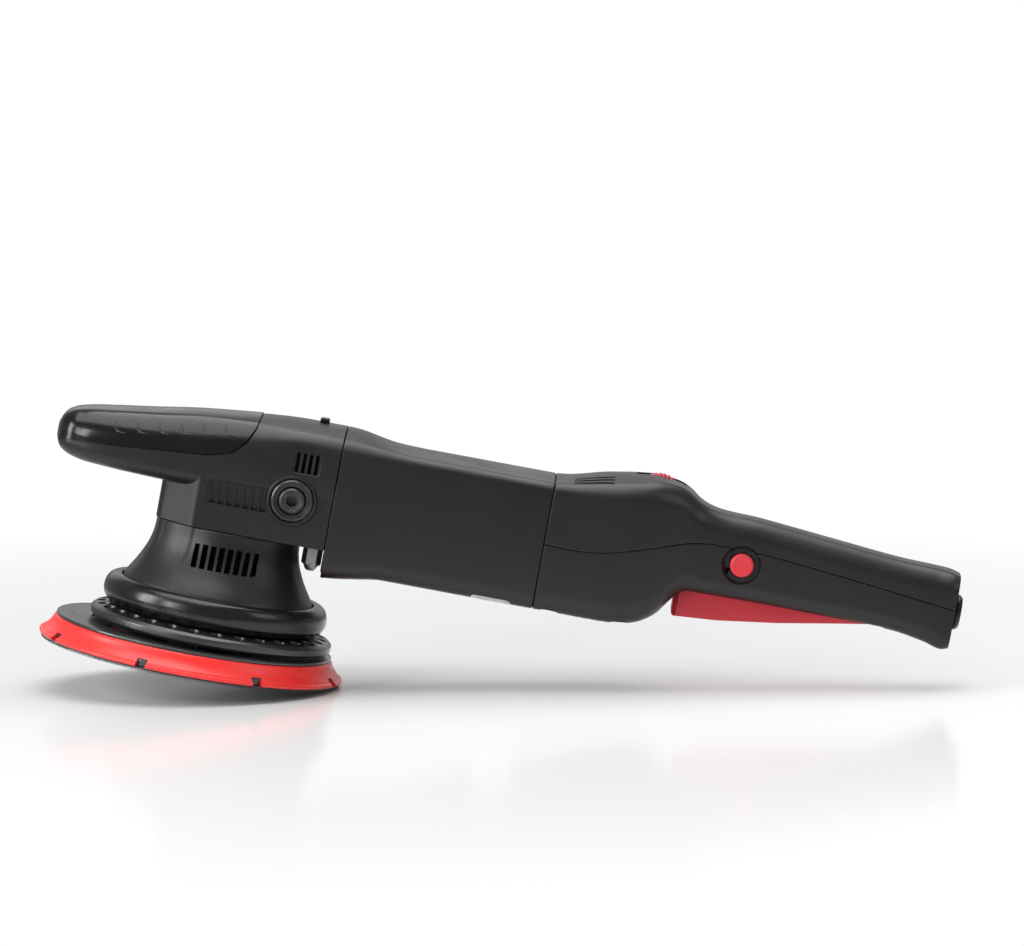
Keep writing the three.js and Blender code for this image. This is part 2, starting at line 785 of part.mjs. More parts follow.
function bootAndVentRing() {
  const bootInner = skirtRadius + gap;
  const bootFoot = skirtFoot - 2.6;
  const bootTop = shoulder - 0.6;
  const middle = (bootFoot + bootTop) / 2;
  const half = (bootTop - bootFoot) / 2;
  const bulge = bootRadius - bootInner - 1.6;
  const arc = Array.from({ length: 7 }, (_, i) => {
    const angle = -Math.PI / 2 + (i / 6) * Math.PI;
    return [bootInner + 1.6 + bulge * Math.cos(angle), middle + half * Math.sin(angle)];
  });
  piece(
    tool,
    "rubber_boot",
    softRubber,
    turned([[bootInner, bootFoot], ...arc, [bootInner, bootTop]], "z", 36),
  );

  const collarTop = skirtFoot + 5;
  const collarOuter = skirtRadius - wall - gap;
  const ring = turned(
    [
      [30, ventRingBottom],
      [ventRingRadius - 1.4, ventRingBottom],
      [ventRingRadius, ventRingBottom + 1.6],
      [ventRingRadius, ventRingBottom + 4],
      [ventRingRadius - 1.4, ventRingBottom + 5.4],
      [collarOuter + 4.6, bootFoot - gap],
      [collarOuter, bootFoot - gap],
      [collarOuter, collarTop],
      [collarOuter - collarWall, collarTop],
      [collarOuter - collarWall, ventRingBottom + 2.6],
      [30, ventRingBottom + 2.6],
    ],
    "z",
    30,
  );
  const holeRadius = (ventRingRadius + collarOuter + 4) / 2;
  const hole = () =>
    rod(2.8, ventRingBottom + 2.2, bootFoot + 2, "z", 6).translate(holeRadius, 0, 0);
  piece(tool, "vent_ring", blackNylon, cut(ring, ...around(30, 0, hole)));
}

// ---------------------------------------------------------------- head cover and side bosses
const bossRadius = 10.4;
const plugHead = 6.2;
const bossFace = casingWidth / 2 + 1;
const lockStem = 2;
const lockBody = 3.5;
const lockTravel = 3;

// The rubber grip's outline seen from the side: over the nose's top and down its flanks.
function gripOutline(shrink) {
  const front = noseTip - 4;
  const top = casingTop + 12;
  const line = noseBottom + 9.8 + shrink;
  return [
    [front, line],
    [noseTip + 25, line + 2.6],
    [noseTip + 50, line + 5],
    [noseTip + 72, line + 7.6],
    [noseTip + 83 - shrink, line + 10.4],
    [noseTip + 90 - shrink, line + 15.5],
    [noseTip + 94.5 - shrink, line + 22],
    [noseTip + 96 - shrink, top],
    [front, top],
  ];
}

function louvres(x, count, pitch, width, z0, z1) {
  return Array.from({ length: count }, (_, i) => {
    const middle = x + (i - (count - 1) / 2) * pitch;
    return block(middle - width / 2, middle + width / 2, -60, 60, z0, z1);
  });
}

function headCover() {
  const rear = headJoint - gap;
  const outside = join(
    loft(headStations),
    plan(neckFront, rear, neckHalf, neckCorner, 0, bellTop, motorAxis + 2),
  );
  const floorFrom = -neckFront + 0.2; // behind the bell the head has its own floor
  const wide = casingHalf + sideBulge - wall - 0.3;
  const inside = join(
    cavity(headStations, false, true),
    plan(neckFront + wall, rear + 1, wide, neckCorner - wall, 0, bellTop + wall, motorAxis + 2),
    plan(
      neckFront + wall,
      floorFrom,
      wide,
      neckCorner - wall,
      neckCorner - wall,
      bellTop - 1,
      bellTop + wall + 1,
    ),
  );
  const gripRecess = common(
    cut(loft(headStations, 4), loft(headStations, -gripDepth - gap)),
    sideProfile(gripOutline(0), -60, 60),
  );
  const bossHoles = rod(bossRadius + gap, -60, 60, "y", 24).translate(bossX, 0, motorAxis);
  const lockHole = rod(lockBody + gap + 0.3, bellTop - 1, bellTop + 8, "z", 16).translate(
    lockX,
    0,
    0,
  );
  piece(
    tool,
    "head_cover",
    blackPlastic,
    cut(
      outside,
      inside,
      gripRecess,
      bossHoles,
      lockHole,
      ...louvres(2.5, 8, 4, 2.2, motorAxis - 8, motorAxis + 3),
      ...louvres(bossX + 4, 4, 3.3, 1.6, casingTop - 17, casingTop - 7.6),
    ),
  );

  const grip = common(
    cut(loft(headStations, 0.5), loft(headStations, -gripDepth)),
    sideProfile(gripOutline(gap), -60, 60),
  );
  piece(tool, "nose_grip", blackRubber, grip);

  const nubTop = casingTop + 8.4;
  piece(
    tool,
    "top_bumper",
    blackRubber,
    cut(block(34.6, 39.2, -3.4, 3.4, casingTop, nubTop), loft(headStations, gap)),
  );
}

function sideBosses() {
  const flangeFoot = casingWidth / 2 - wall - 0.2;
  const plugSeat = bossFace - 3.2;
  for (const [side, sign] of [["left", 1], ["right", -1]]) {
    const place = (g) => {
      if (sign < 0) g.rotateX(Math.PI);
      return g.translate(bossX, 0, motorAxis);
    };
    const boss = turned(
      [
        [boltRadius + gap, tunnelRadius + gap],
        [7.6, tunnelRadius + gap],
        [7.6, flangeFoot],
        [bossRadius, flangeFoot],
        [bossRadius, bossFace - 0.8],
        [bossRadius - 0.8, bossFace],
        [plugHead + gap + 0.6, bossFace],
        [plugHead + gap + 0.6, plugSeat - gap],
        [boltRadius + gap, plugSeat - gap],
      ],
      "y",
      20,
    );
    piece(tool, `handle_boss_${side}`, darkSteel, place(boss));
    const screw = turned(
      [
        [0, plugSeat - 8],
        [boltRadius, plugSeat - 8],
        [boltRadius, plugSeat],
        [plugHead, plugSeat],
        [plugHead, bossFace],
        [plugHead - 0.9, bossFace + 0.9],
        [0, bossFace + 0.9],
      ],
      "y",
      16,
    );
    const socket = rod(2.9, plugSeat, bossFace + 2, "y", 6);
    piece(tool, `handle_plug_${side}`, darkSteel, place(cut(screw, socket)));
  }
}

function shaftLock() {
  const collarFoot = bellTop - 11.2;
  const collar = cut(
    rod(lockBody + 1.5, collarFoot, bellTop - gap, "z", 6),
    rod(lockBody + gap, collarFoot - 1, bellTop, "z", 20),
  ).translate(lockX, 0, 0);
  piece(tool, "lock_collar", castAluminium, collar);

  const foot = bellTop - 14.4;
  const stemTop = motorAxis - shaftRadius - lockTravel + 0.6;
  const pin = turned([
    [0, foot],
    [1.8, foot + 0.4],
    [3, foot + 1.6],
    [lockBody, foot + 3.4],
    [lockBody, bellTop + 0.2],
    [lockStem, bellTop + 0.2],
    [lockStem, stemTop],
    [0, stemTop],
  ]).translate(lockX, 0, 0);
  piece(tool, "lock_pin", steel, pin);
}

// ---------------------------------------------------------------- motor
const shaftRadius = 6;
const fanFrom = headJoint + 8;
const fanTo = fanFrom + 12;
const statorFrom = headJoint + 28;
const statorTo = tailJoint - 31;
const statorRadius = Math.min(casingWidth, casingHeight) / 2 - wall - 0.6;
const statorBore = statorRadius - 10;
const airGap = 0.6;
const coilReach = 5;
const brushX = tailJoint - 20.5;
const commutatorRadius = 11.5;
const rearBearingFrom = tailJoint - 11.5;

function armature() {
  const front = crownRadius * 0.8 + 1.6;
  const grooveHalf = lockStem + running;
  piece(
    motor,
    "armature_shaft",
    steel,
    turned(
      [
        [0, front + 3.6],
        [pinionShaft, front + 3.6],
        [pinionShaft, tunnelBearing - gap],
        [frontBearing.inner, tunnelBearing - gap],
        [frontBearing.inner, tunnelBearing + frontBearing.width + gap],
        [shaftRadius, tunnelBearing + frontBearing.width + gap],
        [shaftRadius, lockX - grooveHalf],
        [shaftRadius - 1.4, lockX - grooveHalf],
        [shaftRadius - 1.4, lockX + grooveHalf],
        [shaftRadius, lockX + grooveHalf],
        [shaftRadius, rearBearingFrom - gap],
        [rearBearing.inner, rearBearingFrom - gap],
        [rearBearing.inner, rearBearingFrom + rearBearing.width + 1],
        [0, rearBearingFrom + rearBearing.width + 1],
      ],
      "x",
      16,
    ),
  );

  const coreRadius = statorBore - airGap;
  const bore = shaftRadius + gap;
  const slot = () => block(statorFrom, statorTo + 2, -1.2, 1.2, coreRadius - 3.4, coreRadius + 1);
  const slots = Array.from({ length: 12 }, (_, i) => slot().rotateX((i / 12) * Math.PI * 2));
  const core = tube(coreRadius, bore, statorFrom + 1, statorTo - 1, "x", 24);
  piece(motor, "armature_core", darkSteel, cut(core, ...slots));
  piece(
    motor,
    "commutator",
    copper,
    tube(commutatorRadius, bore, brushX - 5.5, brushX + 5.5, "x", 24),
  );

  const fanRadius = statorRadius - 3;
  const disc = turned(
    [
      [bore, fanFrom],
      [bore + 4, fanFrom],
      [bore + 5, fanTo - 2.4],
      [fanRadius, fanTo - 2.4],
      [fanRadius, fanTo],
      [bore, fanTo],
    ],
    "x",
    22,
  );
  const blades = Array.from({ length: 11 }, (_, i) =>
    block(fanFrom + 1, fanTo - 2, -0.8, 0.8, bore + 4, fanRadius - 0.4).rotateX(
      (i / 11) * Math.PI * 2,
    ),
  );
  piece(motor, "cooling_fan", whitePlastic, join(disc, ...blades));
}

function stator() {
  const coilMiddle = statorBore + 5;
  const bar = (half) =>
    block(statorFrom - coilReach + 1, statorTo + coilReach - 1, -half, half, coilMiddle - half,
      coilMiddle + half);
  const bars = (half) =>
    Array.from({ length: 4 }, (_, i) => bar(half).rotateX(Math.PI / 4 + (i * Math.PI) / 2));
  piece(
    motor,
    "stator_core",
    darkSteel,
    cut(tube(statorRadius, statorBore, statorFrom, statorTo, "x", 32), ...bars(2.6 + gap)),
  );
  const endTurn = (from, to) =>
    tube(statorRadius - 1.4, statorBore + 1, from, to, "x", 24);
  piece(
    motor,
    "field_coils",
    copper,
    join(
      endTurn(statorFrom - coilReach, statorFrom - gap),
      endTurn(statorTo + gap, statorTo + coilReach),
      ...bars(2.6),
    ),
  );
  piece(motor, "motor_bearing_front", steel, ballBearing(frontBearing, tunnelBearing, "x"));
  piece(motor, "motor_bearing_rear", steel, ballBearing(rearBearing, rearBearingFrom, "x"));

  const inner = commutatorRadius + gap;
  const holderEnd = inner + 12.6;
  const seat = rearBearing.outer + gap;
  const bridgeHalf = casingWidth / 2 - wall - gap - 0.6;
  const bridge = join(
    tube(seat + 3, seat, rearBearingFrom - 0.6, tailJoint - 2, "x", 32),
    ...[1, -1].map((sign) => {
      const arm = join(
        block(rearBearingFrom + 1, tailJoint - 3, seat + 1, bridgeHalf, -7, 7),
        block(brushX - 5, rearBearingFrom + 2, holderEnd + gap, bridgeHalf, -7, 7),
      );
      return arm.scale(1, sign, 1);
    }),
  );
  piece(motor, "bearing_bridge", blackNylon, bridge);

  for (const [side, sign] of [["left", 1], ["right", -1]]) {
    const turn = (g) => (sign < 0 ? g.rotateX(Math.PI) : g);
    const holder = cut(
      block(brushX - 3.8, brushX + 3.8, inner + 1.2, holderEnd, -5.8, 5.8),
      block(brushX - 2.5 - gap, brushX + 2.5 + gap, inner, holderEnd - 1.2, -4.7, 4.7),
    );
    piece(motor, `brush_holder_${side}`, brass, turn(holder));
    const brush = block(brushX - 2.5, brushX + 2.5, inner, holderEnd - 2, -4.4, 4.4);
    piece(motor, `carbon_brush_${side}`, carbon, turn(brush));
  }
}

function motorHousing() {
  piece(
    tool,
    "motor_housing",
    blackPlastic,
    cut(loft(motorStations), cavity(motorStations, true, true)),
  );
  const labelX = tailJoint - 20.6;
  piece(
    tool,
    "rating_plate",
    foilLabel,
    block(labelX - 9.8, labelX + 9.8, -19, 19, casingBottom - gap - 0.5, casingBottom - gap),
  );
}

// ---------------------------------------------------------------- tail and rear handle
// The seam between the tail's upper and lower shells, front to back, as [x, height].
const seamLine = [
  [tailJoint - 5, motorAxis + 1.6],
  [tailJoint + 14, motorAxis + 1.2],
  [tailJoint + 29, motorAxis + 2.6],
  [tailJoint + 51, motorAxis + 8.4],
  [tailJoint + 71, motorAxis + 14],
  [tailJoint + 87, motorAxis + 15.2],
  [tailJoint + 105, motorAxis + 14.6],
  [tailJoint + 140, motorAxis + 11.4],
  [tailEnd + 5, motorAxis + 4],
];
const belowSeam = (drop) =>
  sideProfile(
    [
      [seamLine[0][0], casingBottom - 20],
      [seamLine[seamLine.length - 1][0], casingBottom - 20],
      ...seamLine.map(([x, z]) => [x, z - drop]).reverse(),
    ],
    -60,
    60,
  );

// Screw posts of the tail: [x, y, height of the counterbore's end].
const tailScrews = [
  [tailJoint + 8, 22, casingBottom + 9],
  [tailJoint + 43, 19.5, casingBottom + 11],
];
const glandRadius = 8.6;
const cordBore = 4.4;
const glandHeight = (handleTop + handleBottom) / 2 - 6.8;
const switchFrom = 229;
const switchTo = 268;
const switchTop = 112.4;
const plungerX = 240;
const triggerTop = 82.6;

function triggerOutline(grow) {
  const [px, pz] = triggerPivot;
  return [
    [triggerFront - grow, 65.6 - grow],
    [triggerFront + 22, 67.2 - grow],
    [triggerFront + 52, 71.4 - grow],
    [triggerFront + 80, 76.4 - grow],
    [px + 3 + grow, 80 - grow],
    [px + 3.6 + grow, pz],
    [px + 2.4, pz + 2.8 + grow],
    [px - 2.4, pz + 2.8 + grow],
    [px - 8, triggerTop + grow],
    [triggerFront - grow, triggerTop + grow],
  ];
}

function tailShells() {
  const outside = loft(tailStations);
  const inside = cavity(tailStations, true, false);
  const shell = cut(outside, inside);
  const gland = rod(glandRadius + gap, tailEnd - 14, tailEnd + 2, "x", 24).translate(
    0,
    0,
    glandHeight,
  );
  const dialSlot = block(
    dialX - dialRadius - 1.4,
    dialX + dialRadius + 1.4,
    -dialHalfWidth - 0.7,
    dialHalfWidth + 0.7,
    dialAxis - 2,
    casingTop + 20,
  );
  const buttonHole = rod(buttonRadius + 0.5, -40, 0, "y", 24).translate(
    buttonX,
    0,
    buttonHeight,
  );
  const buttonRecess = rod(buttonRadius + 3.7, -40, 0.9 - handleHalf, "y", 24).translate(
    buttonX,
    0,
    buttonHeight,
  );
  const topSlots = [-23, -18.5, -14, 14, 18.5, 23].map((y) =>
    block(tailJoint + 9, tailJoint + 28.5, y - 1, y + 1, casingTop - 8, casingTop + 12),
  );
  // The first slot is shorter, because it lies between the front pair of screw posts.
  const intake = [15, 22, 22, 22, 22].map((half, i) =>
    block(tailJoint + 10 + 4.2 * i, tailJoint + 12.2 + 4.2 * i, -half, half, 40, casingBottom + 5),
  );
  const triggerSlot = block(
    triggerFront - 2.2,
    triggerPivot[0] + 5,
    -triggerHalfWidth - 0.6,
    triggerHalfWidth + 0.6,
    60,
    handleBottom + wall + 2,
  );
  // Posts stand on the lower shell's floor; matching bosses hang in the upper shell.
  const posts = [];
  const bosses = [];
  const counterbores = [];
  for (const [x, y, end] of tailScrews) {
    for (const sign of [1, -1]) {
      const at = (g) => g.translate(x, sign * y, 0);
      posts.push(at(rod(4.6, casingBottom + 1, motorAxis, "z", 10)));
      bosses.push(at(rod(4.6, motorAxis, casingTop + 12, "z", 10)));
      counterbores.push(at(rod(3.4, 40, end, "z", 10)));
      counterbores.push(at(rod(1.9, end - 1, motorAxis + 14, "z", 8)));
    }
  }
  const [px, pz] = triggerPivot;
  const lugs = [1, -1].map((sign) =>
    block(px - 5, px + 5, 12.2, 14.8, handleBottom - 1, pz + 5).scale(1, sign, 1),
  );
  const pinBore = rod(2.1 + gap, -15, 15, "y", 12).translate(px, 0, pz);
  const ribs = [switchFrom + 3, switchTo - 5].map((x) =>
    block(x, x + 2, -10.6, 10.6, switchTop + gap, casingTop),
  );
  const lowerBody = common(join(shell, ...posts, ...lugs), outside, belowSeam(gap / 2));
  piece(
    tool,
    "tail_lower_shell",
    blackPlastic,
    cut(
      lowerBody,
      triggerSlot,
      buttonHole,
      buttonRecess,
      pinBore,
      gland,
      ...intake,
      ...counterbores,
    ),
  );
  const upperBody = cut(common(join(shell, ...bosses, ...ribs), outside), belowSeam(-gap / 2));
  piece(
    tool,
    "tail_upper_shell",
    blackPlastic,
    cut(upperBody, dialSlot, buttonHole, buttonRecess, gland, ...topSlots, ...counterbores),
  );
  let number = 1;
  for (const [x, y, end] of tailScrews) {
    for (const sign of [1, -1]) {
      const screw = turned(
        [
          [0, end - gap - 2.6],
          [3.1, end - gap - 2.6],
          [3.1, end - gap],
          [1.6, end - gap],
          [1.6, motorAxis + 12],
          [0, motorAxis + 12],
        ],
        "z",
        12,
      ).translate(x, sign * y, 0);
      piece(tool, `tail_screw_${number}`, darkSteel, screw);
      number += 1;
    }
  }

  piece(
    tool,
    "cord_gland",
    blackRubber,
    turned(
      [
        [cordBore, tailEnd - 13],
        [glandRadius - 2, tailEnd - 13],
        [glandRadius - 2, tailEnd - 8],
        [glandRadius, tailEnd - 8],
        [glandRadius, tailEnd + 2],
        [glandRadius - 1.6, tailEnd + 3.6],
        [cordBore, tailEnd + 3.6],
      ],
      "x",
      24,
    ).translate(0, 0, glandHeight),
  );
  piece(
    tool,
    "cord_clamp",
    blackNylon,
    join(
      block(clampFrom, clampFrom + 8, -9.6, 9.6, handleBottom + 2, glandHeight - 5),
      block(clampFrom, clampFrom + 8, -9.6, -5.4, handleBottom + 2, glandHeight + 3),
      block(clampFrom, clampFrom + 8, 5.4, 9.6, handleBottom + 2, glandHeight + 3),
    ),
  );
}

// ---------------------------------------------------------------- switch, trigger and dial
function controls() {
  const [px, pz] = triggerPivot;
  const chamfer = 3;
  const paddle = sideProfile(triggerOutline(0), -triggerHalfWidth, triggerHalfWidth);
  const frontCorners = [1, -1].map((sign) =>
    block(-chamfer, chamfer, -chamfer, chamfer, 55, 95)
      .rotateZ(Math.PI / 4)
      .translate(triggerFront - chamfer * 0.35, sign * (triggerHalfWidth + chamfer * 0.35), 0),
  );
  const hollow = block(
    triggerFront + 3,
    px - 12,
    -triggerHalfWidth + 2.4,
    triggerHalfWidth - 2.4,
    triggerTop - 5,
    triggerTop + 4,
  );
  const pinHole = rod(2.5, -20, 20, "y", 16).translate(px, 0, pz);
  piece(tool, "trigger", redPlastic, cut(paddle, ...frontCorners, hollow, pinHole));
  piece(
    tool,
    "trigger_pin",
    steel,
    rod(2.1, -14.6, 14.6, "y", 12).translate(px, 0, pz),
  );

  const plungerRadius = 3;
  const body = block(switchFrom, switchTo, -10.6, 10.6, 93.6, switchTop);
  piece(
    tool,
    "switch_body",
    blackNylon,
    cut(
      body,
      rod(plungerRadius + gap, 90, 105, "z", 16).translate(plungerX, 0, 0),
      rod(3, -12, -4, "y", 16).translate(buttonX, 0, buttonHeight),
    ),
  );
  const rest = triggerTop - 5 + gap;
  piece(
    tool,
    "switch_plunger",
    whitePlastic,
    rod(plungerRadius, rest, 97, "z", 16).translate(plungerX, 0, 0),
  );
  piece(tool, "trigger_spring", steel, coil(3.6, 0.55, 5, rest + 0.4, 93, 260));

  const face = -handleHalf - 0.6;
  piece(
    tool,
    "lock_button",
    redPlastic,
    turned(
      [
        [0, face],
        [buttonRadius - 0.8, face],
        [buttonRadius, face + 0.8],
        [buttonRadius, face + 4.4],
        [2.2, face + 4.4],
        [2.2, -9.6],
        [0, -9.6],
      ],
      "y",
      28,
    ).translate(buttonX, 0, buttonHeight),
  );

  const knurl = 16;
  const wheel = cut(
    tube(dialRadius, 2.2, -dialHalfWidth, dialHalfWidth, "y", knurl * 2),
    ...Array.from({ length: knurl }, (_, i) =>
      block(-0.55, 0.55, -dialHalfWidth - 1, dialHalfWidth + 1, dialRadius - 0.6, dialRadius + 1)
        .rotateY((i / knurl) * Math.PI * 2),
    ),
  ).translate(dialX, 0, dialAxis);
  piece(tool, "speed_dial", redPlastic, wheel);
  piece(
    tool,
    "dial_axle",
    steel,
    rod(1.8, -9, 9, "y", 12).translate(dialX, 0, dialAxis),
  );

  const board = block(tailJoint + 20, tailJoint + 34, -15, 15, casingBottom + wall + gap, motorAxis + 6);
  piece(tool, "speed_controller", blackNylon, board);
}

// A compression spring: a wire carried round a helix about a vertical line at x.
function coil(radius, wire, turns, z0, z1, x) {
  class Helix extends THREE.Curve {
    getPoint(t) {
      const angle = t * turns * Math.PI * 2;
      return new THREE.Vector3(
        x + radius * Math.cos(angle),
        radius * Math.sin(angle),
        z0 + wire + t * (z1 - z0 - 2 * wire),
      );
    }
  }
  const section = new THREE.Shape().absarc(0, 0, wire, 0, Math.PI * 2, false);
  return new THREE.ExtrudeGeometry(section, {
    steps: turns * 9,
    curveSegments: 2,
    extrudePath: new Helix(),
    bevelEnabled: false,
  });
}

backingPlate();
orbitDrive();
gears();
gearHead();
bell();
bootAndVentRing();
headCover();
sideBosses();
shaftLock();
armature();
stator();
motorHousing();
tailShells();
controls();

export default polisher;
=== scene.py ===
"""The looks of a dual action polisher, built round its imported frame.

The frame's origin is the centre of the backing plate's working face, +Z runs up along the
spindle and +X from the head to the tail handle. Shapes are worked out in millimetres, measured
from the head's axis, and `build` turns them into metres in the frame.
"""

import json
import math

import bmesh
import bpy
import numpy as np
from mathutils import Matrix, Vector


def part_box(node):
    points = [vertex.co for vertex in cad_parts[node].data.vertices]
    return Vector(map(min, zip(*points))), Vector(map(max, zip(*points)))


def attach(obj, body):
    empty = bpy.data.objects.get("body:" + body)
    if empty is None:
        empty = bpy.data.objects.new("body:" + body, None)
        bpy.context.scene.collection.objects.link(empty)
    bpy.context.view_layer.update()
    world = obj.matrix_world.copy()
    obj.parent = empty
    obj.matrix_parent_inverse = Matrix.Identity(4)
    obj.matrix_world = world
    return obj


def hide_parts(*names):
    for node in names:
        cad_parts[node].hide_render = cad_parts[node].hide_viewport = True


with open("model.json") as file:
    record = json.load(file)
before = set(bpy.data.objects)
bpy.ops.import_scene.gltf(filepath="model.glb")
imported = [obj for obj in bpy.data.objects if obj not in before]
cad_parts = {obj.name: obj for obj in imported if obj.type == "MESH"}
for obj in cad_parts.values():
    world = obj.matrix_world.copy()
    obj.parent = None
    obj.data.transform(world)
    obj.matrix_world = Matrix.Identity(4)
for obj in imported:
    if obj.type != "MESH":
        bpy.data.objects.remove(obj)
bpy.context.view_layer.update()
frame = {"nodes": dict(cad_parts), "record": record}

MM = 0.001
JOINTS = {joint["name"]: joint for joint in frame["record"]["behaviour"]["joints"]}
BODY_OF = {
    node: body
    for body, nodes in frame["record"]["behaviour"]["bodies"].items()
    for node in nodes
}


def joint_place(name):
    """A joint's place in millimetres, with x measured from the head's axis."""
    x, y, z = JOINTS[name]["pos_m"]
    return np.array([x - HEAD_X, y, z]) / MM


def node_box(name):
    """A CAD node's lowest and highest corners in millimetres from the head's axis."""
    low, high = (np.array(corner, float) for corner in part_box(name))
    shift = np.array([HEAD_X, 0, 0])
    return (low - shift) / MM, (high - shift) / MM


HEAD_X = JOINTS["crown_spin"]["pos_m"][0]
ORBIT = HEAD_X / MM
MOTOR_AXIS = joint_place("armature_spin")[2]

# ---------------------------------------------------------------- sizes taken from the frame
HEAD_LOW, HEAD_HIGH = node_box("head_cover")
MOTOR_LOW, MOTOR_HIGH = node_box("motor_housing")
TAIL_LOW, TAIL_HIGH = node_box("tail_lower_shell")
BELL_LOW, BELL_HIGH = node_box("bell_shroud")
BOOT_LOW, BOOT_HIGH = node_box("rubber_boot")
RING_LOW, RING_HIGH = node_box("vent_ring")
FOAM_LOW, FOAM_HIGH = node_box("plate_foam")
TOP_LOW, TOP_HIGH = node_box("plate_top")
HOOK_HIGH = node_box("plate_hook_face")[1]

NOSE_TIP = HEAD_LOW[0]
HEAD_REAR = HEAD_HIGH[0]
BELL_TOP = HEAD_LOW[2]
TAIL_FRONT = TAIL_LOW[0]
TAIL_END = TAIL_HIGH[0]
MOTOR_FRONT = MOTOR_LOW[0]
MOTOR_REAR = MOTOR_HIGH[0]
CASING_HEIGHT = 62.5
CASING_TOP = MOTOR_AXIS + CASING_HEIGHT / 2
CASING_BOTTOM = MOTOR_AXIS - CASING_HEIGHT / 2
SIDE_BULGE = 1.3
CASING_HALF = HEAD_HIGH[1] - SIDE_BULGE
WALL = 2.6
NOSE_BOTTOM = CASING_TOP - 34
NECK_FRONT = -35.5
SKIRT = 47.4  # the radius of the bell's round foot, which the ring and the boot sit on
GAP = 0.3


# ---------------------------------------------------------------- meshes from grids
def build(name, points, faces, smooth_angle=38):
    """Makes an object from points in millimetres and faces, with its place in its mesh."""
    mesh = bpy.data.meshes.new(name)
    metres = np.asarray(points, float) * MM + np.array([HEAD_X, 0, 0])
    mesh.from_pydata(metres.tolist(), [], faces)
    piece = bpy.data.objects.new(name, mesh)
    bpy.context.scene.collection.objects.link(piece)
    weld(piece)
    shade(piece, smooth_angle)
    return piece


def weld(piece, distance=2e-6):
    """Merges a mesh's doubled points and turns all its faces outwards."""
    work = bmesh.new()
    work.from_mesh(piece.data)
    bmesh.ops.remove_doubles(work, verts=work.verts, dist=distance)
    bmesh.ops.dissolve_degenerate(work, edges=work.edges, dist=1e-7)
    bmesh.ops.recalc_face_normals(work, faces=work.faces)
    work.to_mesh(piece.data)
    work.free()


def shade(piece, angle=38):
    """Smooth shading, with an edge kept sharp where its faces meet at more than the angle."""
    mesh = piece.data
    mesh.polygons.foreach_set("use_smooth", np.ones(len(mesh.polygons), bool))
    mesh.set_sharp_from_angle(angle=math.radians(angle))
    mesh.update()


def grid_faces(rows, columns, wrap_rows=False, wrap_columns=True):
    """Four-cornered faces of a grid whose points are counted row by row."""
    i = np.arange(rows if wrap_rows else rows - 1)[:, None]
    j = np.arange(columns if wrap_columns else columns - 1)[None, :]
    i2 = (i + 1) % rows
    j2 = (j + 1) % columns
    quads = np.stack(
        [i * columns + j, i * columns + j2, i2 * columns + j2, i2 * columns + j], axis=-1
    )
    return quads.reshape(-1, 4).tolist()


def skin(name, rings, wrap_rows=False, wrap_columns=True, caps=True):
    """A surface over an array of rings, (rows, columns, 3), with its two ends closed."""
    rows, columns, _ = rings.shape
    faces = grid_faces(rows, columns, wrap_rows, wrap_columns)
    if caps and not wrap_rows:
        faces.append(list(range(columns))[::-1])
        faces.append(list(range((rows - 1) * columns, rows * columns)))
    return build(name, rings.reshape(-1, 3), faces)


def rounded(outline, radii, steps=6, closed=True):
    """A polygon with its corners turned into arcs.

    A corner's arc touches both its sides at radius * tan(half the turn) from the corner.
    """
    outline = np.asarray(outline, float)
    count = len(outline)
    radii = np.broadcast_to(radii, count)
    made = []
    for k in range(count):
        here = outline[k]
        if not closed and k in (0, count - 1) or radii[k] <= 0:
            made.append(here[None])
            continue
        to_last = outline[k - 1] - here
        to_next = outline[(k + 1) % count] - here
        a, b = np.linalg.norm(to_last), np.linalg.norm(to_next)
        to_last, to_next = to_last / a, to_next / b
        opening = math.acos(np.clip(to_last @ to_next, -1, 1))
        if opening > math.pi - 0.02:
            made.append(here[None])
            continue
        reach = min(radii[k] / math.tan(opening / 2), 0.48 * a, 0.48 * b)
        radius = reach * math.tan(opening / 2)
        middle = here + (to_last + to_next) / np.linalg.norm(to_last + to_next) * (
            radius / math.sin(opening / 2)
        )
        start = here + to_last * reach - middle
        end = here + to_next * reach - middle
        turn = math.pi - opening
        t = np.linspace(0, 1, steps + 1)[:, None]
        arc = (np.sin((1 - t) * turn) * start + np.sin(t * turn) * end) / math.sin(turn)
        made.append(middle + arc)
    return np.concatenate(made)


def turned(name, profile, axis="z", centre=(0, 0, 0), segments=96, wobble=None):
    """A lathe: a closed profile of [radius, distance along the axis], carried round the axis.

    wobble, when given, is a function of the angle and the profile's points that adds to the
    radius.
    """
    profile = np.asarray(profile, float)
    angle = np.linspace(0, 2 * math.pi, segments, endpoint=False)
    radius = np.repeat(profile[:, :1], segments, axis=1)
    along = np.repeat(profile[:, 1:2], segments, axis=1)
    if wobble is not None:
        radius = radius + wobble(angle[None, :], radius, along)
    across, up = radius * np.cos(angle), radius * np.sin(angle)
    order = {"z": (across, up, along), "x": (along, across, up), "y": (up, along, across)}
    rings = np.stack(order[axis], axis=-1) + np.asarray(centre, float)
    on_axis = profile[0, 0] == 0 and profile[-1, 0] == 0
    return skin(name, rings, wrap_rows=not on_axis, caps=False)


